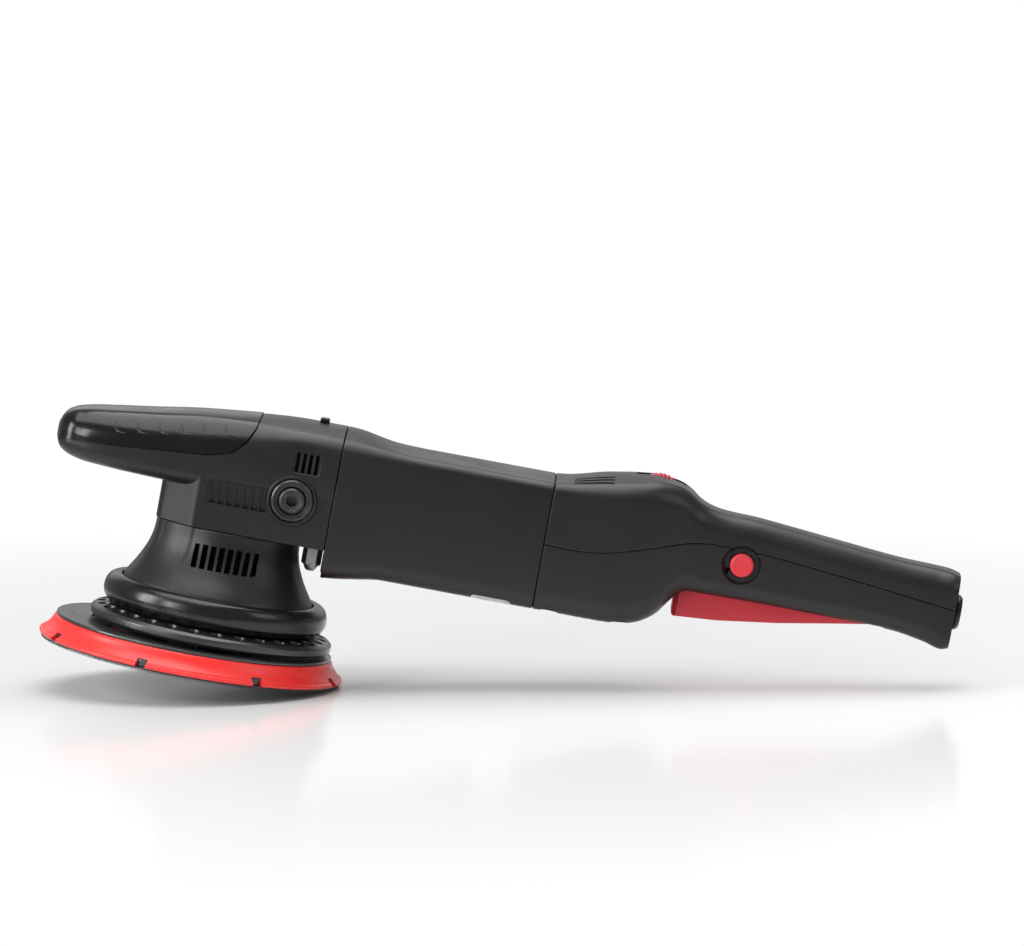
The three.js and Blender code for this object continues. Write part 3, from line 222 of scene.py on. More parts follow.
def extruded(name, outline, y0, y1, edge=0.6, steps=4):
    """An outline of [x, z] carried across the tool, its two side edges rounded.

    Near each side the outline shrinks along its own normals by edge * (1 - cos(angle)).
    """
    outline = np.asarray(outline, float)
    ahead = np.roll(outline, -1, axis=0) - outline
    ahead /= np.linalg.norm(ahead, axis=1, keepdims=True)
    behind = np.roll(ahead, 1, axis=0)
    tangent = ahead + behind
    tangent /= np.maximum(np.linalg.norm(tangent, axis=1, keepdims=True), 1e-6)
    area = np.sum(outline[:, 0] * np.roll(outline[:, 1], -1))
    area -= np.sum(outline[:, 1] * np.roll(outline[:, 0], -1))
    normal = np.stack([tangent[:, 1], -tangent[:, 0]], axis=1) * np.sign(area)
    turn = np.linspace(0, math.pi / 2, steps + 1)
    shrink = edge * (1 - np.sin(turn))
    inset = edge * (1 - np.cos(turn))
    shrink = np.concatenate([shrink, shrink[::-1]])
    across = np.concatenate([y0 + inset, (y1 - inset)[::-1]])
    flat = outline[None] - normal[None] * shrink[:, None, None]
    rings = np.stack(
        [flat[..., 0], np.repeat(across[:, None], len(outline), axis=1), flat[..., 1]], axis=-1
    )
    return skin(name, rings)


def smooth_rows(table, x):
    """A table of stations, [x, value, value, ...], read smoothly at every x.

    Each stretch is a cubic whose slopes at the stations are the mean of the slopes either side,
    held back where the values turn, so that nothing overshoots.
    """
    table = np.asarray(table, float)
    knots, values = table[:, 0], table[:, 1:]
    step = np.diff(knots)[:, None]
    slope = np.diff(values, axis=0) / step
    inner = 0.5 * (slope[1:] + slope[:-1])
    smaller = 3 * np.minimum(np.abs(slope[1:]), np.abs(slope[:-1]))
    inner = np.sign(inner) * np.minimum(np.abs(inner), smaller)
    inner = np.where(slope[1:] * slope[:-1] <= 0, 0, inner)
    ends = np.concatenate([slope[:1], inner, slope[-1:]])
    x = np.clip(np.asarray(x, float), knots[0], knots[-1])
    k = np.clip(np.searchsorted(knots, x, side="right") - 1, 0, len(knots) - 2)
    t = ((x - knots[k]) / np.diff(knots)[k])[:, None]
    h = np.diff(knots)[k][:, None]
    return (
        (1 + 2 * t) * (1 - t) ** 2 * values[k]
        + t * (1 - t) ** 2 * h * ends[k]
        + t**2 * (3 - 2 * t) * values[k + 1]
        + t**2 * (t - 1) * h * ends[k + 1]
    )


def carve(piece, *tools, operation="DIFFERENCE"):
    """Cuts the tools out of a piece for good, or joins or intersects them."""
    for tool in tools:
        cutter = piece.modifiers.new("carve", "BOOLEAN")
        cutter.object = tool
        cutter.operation = operation
        cutter.solver = "EXACT"
    bpy.context.view_layer.update()
    evaluated = piece.evaluated_get(bpy.context.evaluated_depsgraph_get())
    mesh = bpy.data.meshes.new_from_object(evaluated)
    old = piece.data
    piece.modifiers.clear()
    piece.data = mesh
    mesh.name = old.name
    bpy.data.meshes.remove(old)
    for tool in tools:
        bpy.data.objects.remove(tool)
    shade(piece)
    return piece


def gathered(name, *pieces):
    """Several separate solids as one mesh, to cut with in a single step."""
    points, faces = [], []
    for piece in pieces:
        first = len(points)
        points += [tuple(v.co) for v in piece.data.vertices]
        faces += [[first + i for i in polygon.vertices] for polygon in piece.data.polygons]
        bpy.data.objects.remove(piece)
    mesh = bpy.data.meshes.new(name)
    mesh.from_pydata(points, [], faces)
    piece = bpy.data.objects.new(name, mesh)
    bpy.context.scene.collection.objects.link(piece)
    return piece


def slot_tool(x0, x1, z0, z1, y_in, y_out, y_face, flare=0.45, corner=0.7):
    """A slot cutter along Y that widens by the flare where it meets the face at y_face.

    Its cross-section is a rounded rectangle, and it grows over the last flare of the depth, so
    the slot's mouth gets a small chamfer.
    """
    outline = rounded([[x0, z0], [x1, z0], [x1, z1], [x0, z1]], corner, 3)
    middle = outline.mean(axis=0)
    half = np.abs(outline - middle).max(axis=0)
    side = np.sign(y_out - y_in)
    depths = [y_in, y_face - side * flare, y_face + side * 0.02, y_out]
    grows = [0, 0, flare, flare]
    rings = []
    for depth, grow in zip(depths, grows):
        flat = middle + (outline - middle) * (1 + grow / half)
        rings.append(
            np.stack([flat[:, 0], np.full(len(flat), depth), flat[:, 1]], axis=-1)
        )
    return skin("slot_tool", np.array(rings))


def screen(name, x0, x1, z0, z1, y, pitch=2.4, depth=0.35, thick=0.3, lying=False):
    """A fluted dust screen behind a group of vents: y + depth * cos(2 pi x / pitch). Its near-black, almost
    glossless finish is painted shade that keeps the vents dark inside.

    A lying screen spans y0 to y1 at a height z instead, given in the same order.
    """
    x = np.linspace(x0, x1, int((x1 - x0) / pitch * 8))
    wave = y + depth * np.cos(2 * math.pi * x / pitch)
    sides = [(-thick, z0), (thick, z0), (thick, z1), (-thick, z1)]
    rings = np.stack(
        [np.column_stack([x, wave + shift, np.full(len(x), z)]) for shift, z in sides], axis=1
    )
    piece = skin(name, rings[..., [0, 2, 1]] if lying else rings)
    piece.data.materials.append(MATERIALS["screen"])
    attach(piece, "housing")


def sleeve(name, table, x0, x1, outer, inner):
    """A thin sleeve inside a joint of two casings: the casing's own rings, drawn in."""
    x = np.linspace(x0, x1, 4)
    rings = np.concatenate([lofted(table, x, outer), lofted(table, x[::-1], inner)])
    piece = skin(name, rings, wrap_rows=True, caps=False)
    piece.data.materials.append(MATERIALS["screen"])
    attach(piece, "housing")


def scoop_tool(x0, x1, z0, z1, face, side, shallow=1.2, deep=2.4):
    """A louvre's scoop, whose floor slopes from a shallow top to a deep lower end."""
    section = np.array(
        [[face + 6, z0], [face - deep, z0], [face - deep, z0 + 0.8], [face - shallow, z1],
         [face + 6, z1]]
    )
    rings = [
        np.column_stack([np.full(5, x), side * section[:, 0], section[:, 1]]) for x in (x0, x1)
    ]
    return skin("scoop_tool", np.array(rings))


def box_tool(x0, x1, y0, y1, z0, z1, corner=0.0):
    """A box, with its upright edges rounded if a corner radius is given."""
    outline = [[x0, y0], [x1, y0], [x1, y1], [x0, y1]]
    flat = rounded(outline, corner, 5) if corner else np.array(outline, float)
    low = np.column_stack([flat, np.full(len(flat), z0)])
    high = np.column_stack([flat, np.full(len(flat), z1)])
    return skin("box_tool", np.array([low, high]))


# ---------------------------------------------------------------- casing cross-sections
CORNER = 12
BELOW, BESIDE, ABOVE = 20, 22, 28


def casing_rings(stations, grow=0.0):
    """Rings of a casing at each station.

    A station is x, half width, bottom, top, top corner, bottom corner, bulge and crown. The ring
    is a rounded rectangle. Its sides then swell by bulge * (1 - up^2) and its top rises by
    crown * up * (1 - across^2), where up and across run from -1 to 1 over the ring.
    """
    x, half, low, high, top_corner, bottom_corner, bulge, crown = (
        stations[:, k : k + 1] for k in range(8)
    )
    grow = np.broadcast_to(np.asarray(grow, float).reshape(-1, 1), x.shape)
    w, low, high = half + grow, low - grow, high + grow
    middle, height = (low + high) / 2, (high - low) / 2
    limit = np.minimum(w, height) * 0.95
    bottom_r = np.clip(bottom_corner + grow, 0.4, limit)
    top_r = np.clip(top_corner + grow, 0.4, limit)
    arcs = []
    quarter = np.linspace(0, math.pi / 2, CORNER + 1)[None]
    for sy, sz, r, start in [
        (1, -1, bottom_r, -math.pi / 2),
        (1, 1, top_r, 0),
        (-1, 1, top_r, math.pi / 2),
        (-1, -1, bottom_r, math.pi),
    ]:
        y = sy * (w - r) + r * np.cos(start + quarter)
        z = middle + sz * (height - r) + r * np.sin(start + quarter)
        arcs.append((y, z))
    ys, zs = [], []
    for k, count in enumerate([BESIDE, ABOVE, BESIDE, BELOW]):
        y, z = arcs[k]
        y2, z2 = arcs[(k + 1) % 4]
        share = (np.arange(1, count) / count)[None]
        ys += [y, y[:, -1:] + share * (y2[:, :1] - y[:, -1:])]
        zs += [z, z[:, -1:] + share * (z2[:, :1] - z[:, -1:])]
    y, z = np.concatenate(ys, axis=1), np.concatenate(zs, axis=1)
    across, up = y / w, (z - middle) / height
    y = y + np.sign(y) * bulge * np.maximum(0, 1 - up**2)
    z = z + crown * np.maximum(0, up) * (1 - across**2)
    return np.stack([np.broadcast_to(x, y.shape), y, z], axis=-1)


def lofted(table, x, grow=0.0):
    """Casing rings at every x of a smooth run through a table of stations."""
    values = smooth_rows(table, x)
    return casing_rings(np.column_stack([x, values]), grow)


def end_rounding(x0, x1, radius, count, start=True, end=True):
    """Places along X and how far each is drawn in, so a casing's end edges are quarter rounds."""
    turn = np.linspace(0, math.pi / 2, 6)
    x = np.linspace(x0 + radius * start, x1 - radius * end, count)
    grow = np.zeros(count)
    if start:
        x = np.concatenate([x0 + radius * (1 - np.sin(turn[:-1])), x])
        x[:5] = np.sort(x0 + radius * (1 - np.cos(turn[:-1])))
        grow = np.concatenate([-radius * (1 - np.sin(turn[:-1])), grow])
    if end:
        x = np.concatenate([x, x1 - radius * (1 - np.cos(turn[:-1]))[::-1]])
        grow = np.concatenate([grow, -radius * (1 - np.sin(turn[:-1]))[::-1]])
    return x, grow


def head_row(x, narrower, bottom, drop, top_corner, bottom_corner, bulge, crown):
    """A station of the head: x from the nose's tip, the rest from the casing's own size."""
    return [
        NOSE_TIP + x,
        CASING_HALF - narrower,
        NOSE_BOTTOM + bottom,
        CASING_TOP - drop,
        top_corner,
        bottom_corner,
        bulge,
        crown,
    ]


HEAD_STATIONS = [
    head_row(0, 21, 10.5, 16.5, 3, 3, 0, 0.5),
    head_row(1.6, 15.5, 7.4, 13.2, 6, 5, 0, 1),
    head_row(5, 11, 4.8, 11, 8, 6, 0, 1.6),
    head_row(12, 7.2, 2.6, 9.5, 10, 7, 0, 2.4),
    head_row(25, 4.2, 1.5, 7.9, 11, 7, 0.3, 3),
    head_row(45, 1.9, 0.8, 5.9, 12, 7, 0.6, 4),
    head_row(65, 0.6, 0.3, 3.7, 12, 7, 0.9, 5),
    head_row(85, 0, 0, 1.9, 10, 7, 1.2, 5.5),
    head_row(105, 0, 0, 0.5, 7, 7, SIDE_BULGE, 6),
    head_row(120, 0, 0, 0, 5, 7, SIDE_BULGE, 6.2),
    head_row(HEAD_REAR - NOSE_TIP, 0, 0, 0, 5, 8, SIDE_BULGE, 6.2),
]


def body_row(x, drop, crown):
    """A station of the motor housing, x from its front."""
    return [
        MOTOR_FRONT + x,
        CASING_HALF,
        CASING_BOTTOM - drop,
        CASING_TOP,
        5,
        8,
        SIDE_BULGE,
        crown,
    ]


MOTOR_STATIONS = [
    body_row(0, 4, 6.2),
    body_row(7.7, 3.2, 5.6),
    body_row(17.7, 1.6, 3.4),
    body_row(29.7, 0, 0.8),
    body_row(41.7, 0, 0),
    body_row(MOTOR_REAR - MOTOR_FRONT, 0, 0),
]


def tail_row(x, narrower, bottom, top, top_corner, bottom_corner, bulge, crown):
    """A station of the tail's full-size part, x from its front."""
    return [
        TAIL_FRONT + x,
        CASING_HALF - narrower,
        CASING_BOTTOM + bottom,
        CASING_TOP + top,
        top_corner,
        bottom_corner,
        bulge,
        crown,
    ]


HANDLE_HALF = 17.6
HANDLE_BOTTOM = 79
HANDLE_TOP = 117.6
HANDLE_START = 233


def handle_row(share, wider, bottom, top, corner):
    """A station of the rear handle, at a share of its length."""
    return [
        HANDLE_START + share * (TAIL_END - HANDLE_START),
        HANDLE_HALF + wider,
        HANDLE_BOTTOM + bottom,
        HANDLE_TOP + top,
        corner,
        corner - 1,
        0.3,
        1.5,
    ]


TAIL_STATIONS = [
    tail_row(0, 0, 0, 0, 5, 8, SIDE_BULGE, 0),
    tail_row(11.7, 0, -0.1, 0.5, 5, 9, SIDE_BULGE, 3.4),
    tail_row(26.7, 0, -0.3, 2.5, 6, 10, SIDE_BULGE, 5.4),
    tail_row(39.7, 0.8, 0, 5, 7, 11, SIDE_BULGE, 5),
    tail_row(51.7, 3.6, 2.5, 7.4, 8, 12, 1.1, 3.2),
    tail_row(59.7, 6.6, 8, 7, 9, 12, 0.9, 2.4),
    tail_row(65.7, 9, 16, 5, 9, 11, 0.7, 2),
    tail_row(71.7, 10.8, 20.5, 1, 9, 10, 0.5, 1.8),
    handle_row(0, 0.9, 0, 1.2, 9),
    handle_row(0.17, 0, 0, 0, 9),
    handle_row(0.48, -0.6, -0.4, -3.4, 9),
    handle_row(0.76, -1, -1, -6.4, 9),
    handle_row(0.9, -0.6, -3.6, -7, 9),
    handle_row(0.97, -0.2, -5.6, -7.6, 8),
    handle_row(1, -1.2, -4.6, -8.6, 7),
]


# ---------------------------------------------------------------- shader node groups
def socket(group, name, kind, default=None, output=False):
    """Adds one named socket to a node group."""
    made = group.interface.new_socket(
        name=name, in_out="OUTPUT" if output else "INPUT", socket_type=kind
    )
    if default is not None:
        made.default_value = default


class Nodes:
    """A short way to place and wire the nodes of a material or a group."""

    def __init__(self, tree):
        self.tree = tree

    def add(self, kind, inputs=None, **settings):
        node = self.tree.nodes.new("ShaderNode" + kind)
        for name, value in settings.items():
            setattr(node, name, value)
        for name, value in (inputs or {}).items():
            target = node.inputs[name]
            if isinstance(value, bpy.types.NodeSocket):
                self.tree.links.new(value, target)
            else:
                target.default_value = value
        return node

    def link(self, source, target):
        self.tree.links.new(source, target)

    def maths(self, operation, *values):
        node = self.add("Math", operation=operation)
        for k, value in enumerate(values):
            if isinstance(value, bpy.types.NodeSocket):
                self.tree.links.new(value, node.inputs[k])
            else:
                node.inputs[k].default_value = value
        return node.outputs[0]

    def spread(self, value, low, high, to_low=0.0, to_high=1.0):
        node = self.add(
            "MapRange",
            {
                "Value": value,
                "From Min": low,
                "From Max": high,
                "To Min": to_low,
                "To Max": to_high,
            },
        )
        return node.outputs["Result"]

    def mix(self, factor, first, second):
        node = self.add("Mix", data_type="RGBA")
        for k, value in ((0, factor), (6, first), (7, second)):
            if isinstance(value, bpy.types.NodeSocket):
                self.tree.links.new(value, node.inputs[k])
            else:
                node.inputs[k].default_value = value
        return node.outputs[2]


def new_group(name, inputs, outputs):
    """A shader node group with float inputs and the given outputs."""
    group = bpy.data.node_groups.new(name, "ShaderNodeTree")
    socket(group, "Vector", "NodeSocketVector")
    for label, default in inputs.items():
        socket(group, label, "NodeSocketFloat", default)
    for label in outputs:
        socket(group, label, "NodeSocketFloat", output=True)
    nodes = Nodes(group)
    start = group.nodes.new("NodeGroupInput")
    end = group.nodes.new("NodeGroupOutput")
    return group, nodes, start.outputs, end.inputs


def spark_grain():
    """Spark-eroded mould grain: fine pits of two sizes, as a height and a sparkle mask."""
    group, nodes, given, made = new_group(
        "spark_grain", {"Scale": 2600.0, "Coarse": 0.35}, ["Height", "Sparkle"]
    )
    fine = nodes.add(
        "TexNoise",
        {"Vector": given["Vector"], "Scale": given["Scale"], "Detail": 2.0, "Roughness": 0.6},
    )
    broad_scale = nodes.maths("MULTIPLY", given["Scale"], 0.31)
    broad = nodes.add(
        "TexVoronoi", {"Vector": given["Vector"], "Scale": broad_scale}, feature="SMOOTH_F1"
    )
    pits = nodes.maths("MULTIPLY", broad.outputs["Distance"], given["Coarse"])
    nodes.link(nodes.maths("ADD", fine.outputs["Fac"], pits), made["Height"])
    nodes.link(nodes.spread(fine.outputs["Fac"], 0.45, 0.68), made["Sparkle"])
    return group


def handling_marks():
    """Where hands and cloths have been: broad smudges, faint wipe lines and settled dust."""
    group, nodes, given, made = new_group(
        "handling_marks", {"Size": 26.0, "Wipe": 0.4}, ["Smudge", "Dust"]
    )
    broad = nodes.add(
        "TexNoise",
        {"Vector": given["Vector"], "Scale": given["Size"], "Detail": 4.0, "Roughness": 0.55},
    )
    stretched = nodes.add("Mapping", {"Vector": given["Vector"], "Scale": (18.0, 160.0, 90.0)})
    lines = nodes.add(
        "TexNoise", {"Vector": stretched.outputs["Vector"], "Scale": 3.0, "Detail": 3.0}
    )
    soft = nodes.spread(broad.outputs["Fac"], 0.42, 0.66)
    wiped = nodes.maths("MULTIPLY", lines.outputs["Fac"], given["Wipe"])
    nodes.link(nodes.maths("MULTIPLY_ADD", soft, 0.75, wiped), made["Smudge"])
    geometry = nodes.add("NewGeometry")
    parts = nodes.add("SeparateXYZ", {"Vector": geometry.outputs["Normal"]})
    facing_up = nodes.spread(parts.outputs["Z"], 0.35, 1.0)
    specks = nodes.add(
        "TexNoise", {"Vector": given["Vector"], "Scale": 900.0, "Detail": 5.0, "Roughness": 0.8}
    )
    fine_dust = nodes.spread(specks.outputs["Fac"], 0.5, 0.72)
    nodes.link(nodes.maths("MULTIPLY", facing_up, fine_dust), made["Dust"])
    return group


def edge_wear_and_highlight():
    """Lighter convex edges from the surface's pointiness, broken up by noise: partly scuffs from use,
    partly a painted edge highlight.
    """
    group, nodes, given, made = new_group(
        "edge_wear_and_highlight", {"Amount": 0.5, "Breakup": 220.0}, ["Wear"]
    )
    geometry = nodes.add("NewGeometry")
    edges = nodes.spread(geometry.outputs["Pointiness"], 0.53, 0.6)
    patches = nodes.add(
        "TexNoise", {"Vector": given["Vector"], "Scale": given["Breakup"], "Detail": 4.0}
    )
    broken = nodes.spread(patches.outputs["Fac"], 0.42, 0.62)
    worn_and_lit = nodes.maths("MULTIPLY", edges, broken)
    nodes.link(nodes.maths("MULTIPLY", worn_and_lit, given["Amount"]), made["Wear"])
    return group


def turning_marks():
    """Lathe and grinding marks: fine rings that follow stretched noise along one direction."""
    group, nodes, given, made = new_group(
        "turning_marks", {"Fineness": 1400.0, "Wander": 0.5}, ["Height", "Streak"]
    )
    mapped = nodes.add("Mapping", {"Vector": given["Vector"], "Scale": (0.08, 1.0, 1.0)})
    lines = nodes.add(
        "TexNoise",
        {"Vector": mapped.outputs["Vector"], "Scale": given["Fineness"], "Detail": 3.0},
    )
    slow = nodes.add("TexNoise", {"Vector": given["Vector"], "Scale": 60.0, "Detail": 2.0})
    wander = nodes.maths("MULTIPLY", slow.outputs["Fac"], given["Wander"])
    nodes.link(lines.outputs["Fac"], made["Height"])
    nodes.link(nodes.maths("MULTIPLY_ADD", lines.outputs["Fac"], 0.6, wander), made["Streak"])
    return group


GROUPS = {make.__name__: make() for make in (spark_grain, handling_marks, edge_wear_and_highlight, turning_marks)}


def place_group(nodes, name, vector, **values):
    """Puts a node group into a material with its own values."""
    node = nodes.tree.nodes.new("ShaderNodeGroup")
    node.node_tree = GROUPS[name]
    nodes.link(vector, node.inputs["Vector"])
    for label, value in values.items():
        node.inputs[label].default_value = value
    return node.outputs


def material_start(name):
    """An empty material with its nodes, its Principled shader and the object's coordinates."""
    material = bpy.data.materials.new(name)
    material.use_nodes = True
    tree = material.node_tree
    tree.nodes.clear()
    nodes = Nodes(tree)
    shader = nodes.add("BsdfPrincipled")
    output = nodes.add("OutputMaterial")
    nodes.link(shader.outputs["BSDF"], output.inputs["Surface"])
    place = nodes.add("TexCoord").outputs["Object"]
    return material, nodes, shader.inputs, place


def bump(nodes, height, strength, distance):
    """A bump of a height, with its strength and its depth in metres."""
    node = nodes.add("Bump", {"Height": height, "Strength": strength, "Distance": distance})
    return node.outputs["Normal"]


def moulded(
    name,
    colour,
    roughness,
    grain=0.5,
    grain_scale=2600.0,
    depth=0.00012,
    sheen=0.0,
    dust=0.25,
    highlight_and_wear=0.35,
    smudge=0.12,
    specular=0.5,
    mottle=0.12,
):
    """Moulded plastic or rubber: mould grain, slow colour drift, smudges, dust and lighter edges, partly
    scuffs and partly a painted edge highlight.
    """
    material, nodes, shader, place = material_start(name)
    texture = place_group(nodes, "spark_grain", place, Scale=grain_scale)
    marks = place_group(nodes, "handling_marks", place)
    edges = place_group(nodes, "edge_wear_and_highlight", place, Amount=highlight_and_wear)
    drift = nodes.add("TexNoise", {"Vector": place, "Scale": 14.0, "Detail": 3.0})
    darker = tuple(c * (1 - mottle) for c in colour) + (1,)
    lighter = tuple(min(1, c * (1 + mottle) + 0.002 * mottle) for c in colour) + (1,)
    # A lighter tone for the grain's speckles and for the edges, where it is partly scuffing and partly a
    # painted highlight.
    worn_and_lit = tuple(min(1, c * 1.7 + 0.012) for c in colour) + (1,)
    body = nodes.mix(nodes.spread(drift.outputs["Fac"], 0.35, 0.65), darker, lighter)
    speckled = nodes.mix(nodes.maths("MULTIPLY", texture["Sparkle"], 0.22), body, worn_and_lit)
    # Painted edge highlight along the convex edges, together with scuffs.
    edged = nodes.mix(edges["Wear"], speckled, worn_and_lit)
    dusty = nodes.mix(
        nodes.maths("MULTIPLY", marks["Dust"], dust * 0.16), edged, (0.32, 0.31, 0.30, 1)
    )
    nodes.link(dusty, shader["Base Color"])
    rough = nodes.maths("MULTIPLY_ADD", marks["Smudge"], -smudge, roughness + smudge * 0.5)
    rough = nodes.maths("MULTIPLY_ADD", texture["Sparkle"], -0.05, rough)
    rough = nodes.maths("MULTIPLY_ADD", marks["Dust"], 0.18 * dust, rough)
    nodes.link(rough, shader["Roughness"])
    nodes.link(bump(nodes, texture["Height"], grain, depth), shader["Normal"])
    shader["Specular IOR Level"].default_value = specular
    if sheen:
        shader["Sheen Weight"].default_value = sheen
        shader["Sheen Roughness"].default_value = 0.5
    return material


def metal(name, colour, roughness, marks_fineness=1400.0, depth=0.00004, stain=0.25):
    """Machined metal: fine marks, slow stains and brighter worn edges."""
    material, nodes, shader, place = material_start(name)
    marks = place_group(nodes, "turning_marks", place, Fineness=marks_fineness)
    edges = place_group(nodes, "edge_wear_and_highlight", place, Amount=0.8)
    stains = nodes.add("TexNoise", {"Vector": place, "Scale": 85.0, "Detail": 5.0})
    dark = tuple(c * (1 - stain) for c in colour) + (1,)
    bright = tuple(min(1, c * 1.25 + 0.03) for c in colour) + (1,)
    body = nodes.mix(nodes.spread(stains.outputs["Fac"], 0.38, 0.62), (*colour, 1), dark)
    streaked = nodes.mix(nodes.maths("MULTIPLY", marks["Streak"], 0.3), body, bright)
    nodes.link(nodes.mix(edges["Wear"], streaked, bright), shader["Base Color"])
    rough = nodes.maths("MULTIPLY_ADD", marks["Streak"], 0.22, roughness - 0.08)
    nodes.link(rough, shader["Roughness"])
    nodes.link(bump(nodes, marks["Height"], 0.35, depth), shader["Normal"])
    shader["Metallic"].default_value = 1.0
    return material


def foam_skin():
    """The plate's moulded red skin: a soft gloss, fine flow marks and slightly paler edges, partly scuffs
    and partly a painted edge highlight.
    """
    material = moulded(
        "red_foam_skin",
        (0.90, 0.028, 0.024),
        0.34,
        grain=0.22,
        grain_scale=1500.0,
        depth=0.00008,
        dust=0.3,
        highlight_and_wear=0.25,
        smudge=0.16,
        mottle=0.07,
    )
    shader = next(n for n in material.node_tree.nodes if n.type == "BSDF_PRINCIPLED")
    shader.inputs["Subsurface Weight"].default_value = 0.08
    shader.inputs["Subsurface Radius"].default_value = (0.002, 0.0006, 0.0004)
    shader.inputs["Coat Weight"].default_value = 0.18
    shader.inputs["Coat Roughness"].default_value = 0.3
    return material


MATERIALS = {
    "casing": moulded("casing_plastic", (0.0062, 0.0062, 0.0064), 0.38, grain=0.55),
    "casing_tail": moulded("tail_plastic", (0.0072, 0.0072, 0.0074), 0.4, grain=0.5),
    # Near-black and almost without gloss: painted shade behind the vent slots, which keeps the vents dark
    # inside; the joint sleeves use it too.
    "screen": moulded("vent_screen_painted_shade", (0.004, 0.004, 0.004), 0.8, grain=0.6, specular=0.15),
    # The grip rubber's near-black colour is partly its own and partly painted shade that darkens the nose
    # grip; the cord gland, the top bumper and the inner rubber parts share it.
    "grip": moulded(
        "grip_rubber",
        (0.0035, 0.0035, 0.0038),
        0.24,
        grain=0.14,
        grain_scale=1500.0,
        dust=0.3,
        specular=0.38,
    ),
    "boot": moulded(
        "boot_rubber",
        (0.005, 0.005, 0.0054),
        0.25,
        grain=0.2,
        grain_scale=900.0,
        depth=0.0001,
        dust=0.6,
        smudge=0.22,
    ),
    "nylon": moulded(
        "ring_nylon", (0.016, 0.016, 0.0165), 0.3, specular=0.8, grain=0.35, grain_scale=1900.0
    ),
    "plate_nylon": moulded(
        "plate_nylon",
        (0.02, 0.02, 0.0205),
        0.27,
        grain=0.2,
        grain_scale=1500.0,
        smudge=0.16,
        specular=0.9,
    ),
    "red_foam": foam_skin(),
    "red_plastic": moulded(
        "red_plastic", (0.50, 0.020, 0.034), 0.38, grain=0.3, dust=0.2, mottle=0.05
    ),
    "red_button": moulded(
        "button_plastic", (0.74, 0.040, 0.055), 0.36, grain=0.2, dust=0.1, mottle=0.04
    ),
    "hooks": moulded(
        "hook_nylon", (0.012, 0.012, 0.012), 0.6, grain=0.6, grain_scale=3000.0, sheen=0.4
    ),
    "white_nylon": moulded("white_nylon", (0.55, 0.55, 0.52), 0.5, grain=0.3, mottle=0.05),
    "carbon": moulded("carbon_block", (0.02, 0.02, 0.02), 0.75, grain=0.8, mottle=0.2),
    "blackened": metal("blackened_steel", (0.10, 0.10, 0.104), 0.4, stain=0.35),
    "steel": metal("ground_steel", (0.52, 0.53, 0.54), 0.3),
    "pin_steel": metal("pin_steel", (0.60, 0.59, 0.57), 0.48, marks_fineness=900.0),
    "aluminium": metal("cast_aluminium", (0.50, 0.51, 0.52), 0.5, 500.0, 0.0001),
    "copper": metal("copper_wire", (0.72, 0.33, 0.17), 0.35),
    "brass": metal("rolled_brass", (0.68, 0.49, 0.22), 0.33),
    "foil": metal("label_foil", (0.70, 0.71, 0.72), 0.34, 2200.0, 0.00001, stain=0.06),
}


def dress(piece, material, *nodes):
    """Gives a piece its material, its body and its slot, and hides the CAD nodes it stands for."""
    piece.data.materials.clear()
    piece.data.materials.append(MATERIALS[material])
    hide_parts(*nodes)
    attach(piece, BODY_OF[nodes[0]])
    return piece


# ---------------------------------------------------------------- camera, floor and light
TILT = math.radians(10.5)  # the tool leans down towards its tail on the edge of its plate


def stand():
    """The floor, through the edge of the plate that the tool leans on, and the camera."""
    plate_radius = FOAM_HIGH[1] * MM
    size = 14.0
    corner = np.array([[-size, -size], [size, -size], [size, size], [-size, size]])
    height = (corner[:, 0] - plate_radius) * math.tan(TILT)
    mesh = bpy.data.meshes.new("floor")
    mesh.from_pydata(np.column_stack([corner, height]).tolist(), [], [[0, 1, 2, 3]])
    floor = bpy.data.objects.new("floor", mesh)
    bpy.context.scene.collection.objects.link(floor)
    material, nodes, shader, place = material_start("pale_table")
    drift = nodes.add("TexNoise", {"Vector": place, "Scale": 2.0, "Detail": 2.0})
    nodes.link(
        nodes.mix(drift.outputs["Fac"], (0.86, 0.865, 0.87, 1), (0.89, 0.89, 0.89, 1)),
        shader["Base Color"],
    )
    shader["Roughness"].default_value = 0.15
    shader["Specular IOR Level"].default_value = 0.3
    output = next(n for n in nodes.tree.nodes if n.type == "OUTPUT_MATERIAL")
    see_through = nodes.add("BsdfTransparent")
    below = nodes.add("NewGeometry").outputs["Backfacing"]
    away = nodes.add("VectorMath", {0: place, 1: (0.12, 0.06, 0.0)}, operation="DISTANCE")
    faded = nodes.spread(away.outputs["Value"], 0.2, 0.72)
    mixed = nodes.add("MixShader", {"Fac": nodes.maths("MAXIMUM", below, faded)})
    principled = next(n for n in nodes.tree.nodes if n.type == "BSDF_PRINCIPLED")
    nodes.link(principled.outputs["BSDF"], mixed.inputs[1])
    nodes.link(see_through.outputs["BSDF"], mixed.inputs[2])
    nodes.link(mixed.outputs["Shader"], output.inputs["Surface"])
    mesh.materials.append(material)

    distance, view_width = 2.8, 0.4971
    aim = Vector((0.1386, 0.0, 0.1189))
    eye = Vector((0.1386, -distance, 0.395))
    camera_data = bpy.data.cameras.new("camera")
    camera_data.sensor_width = 36.0
    camera_data.lens = distance * camera_data.sensor_width / view_width
    camera_data.clip_end = 60.0
    camera = bpy.data.objects.new("camera", camera_data)
    bpy.context.scene.collection.objects.link(camera)
    looking = (aim - eye).to_track_quat("-Z", "Y").to_matrix().to_4x4()
    camera.matrix_world = (
        Matrix.Translation(eye) @ looking @ Matrix.Rotation(TILT, 4, "Z")
    )
    bpy.context.scene.camera = camera


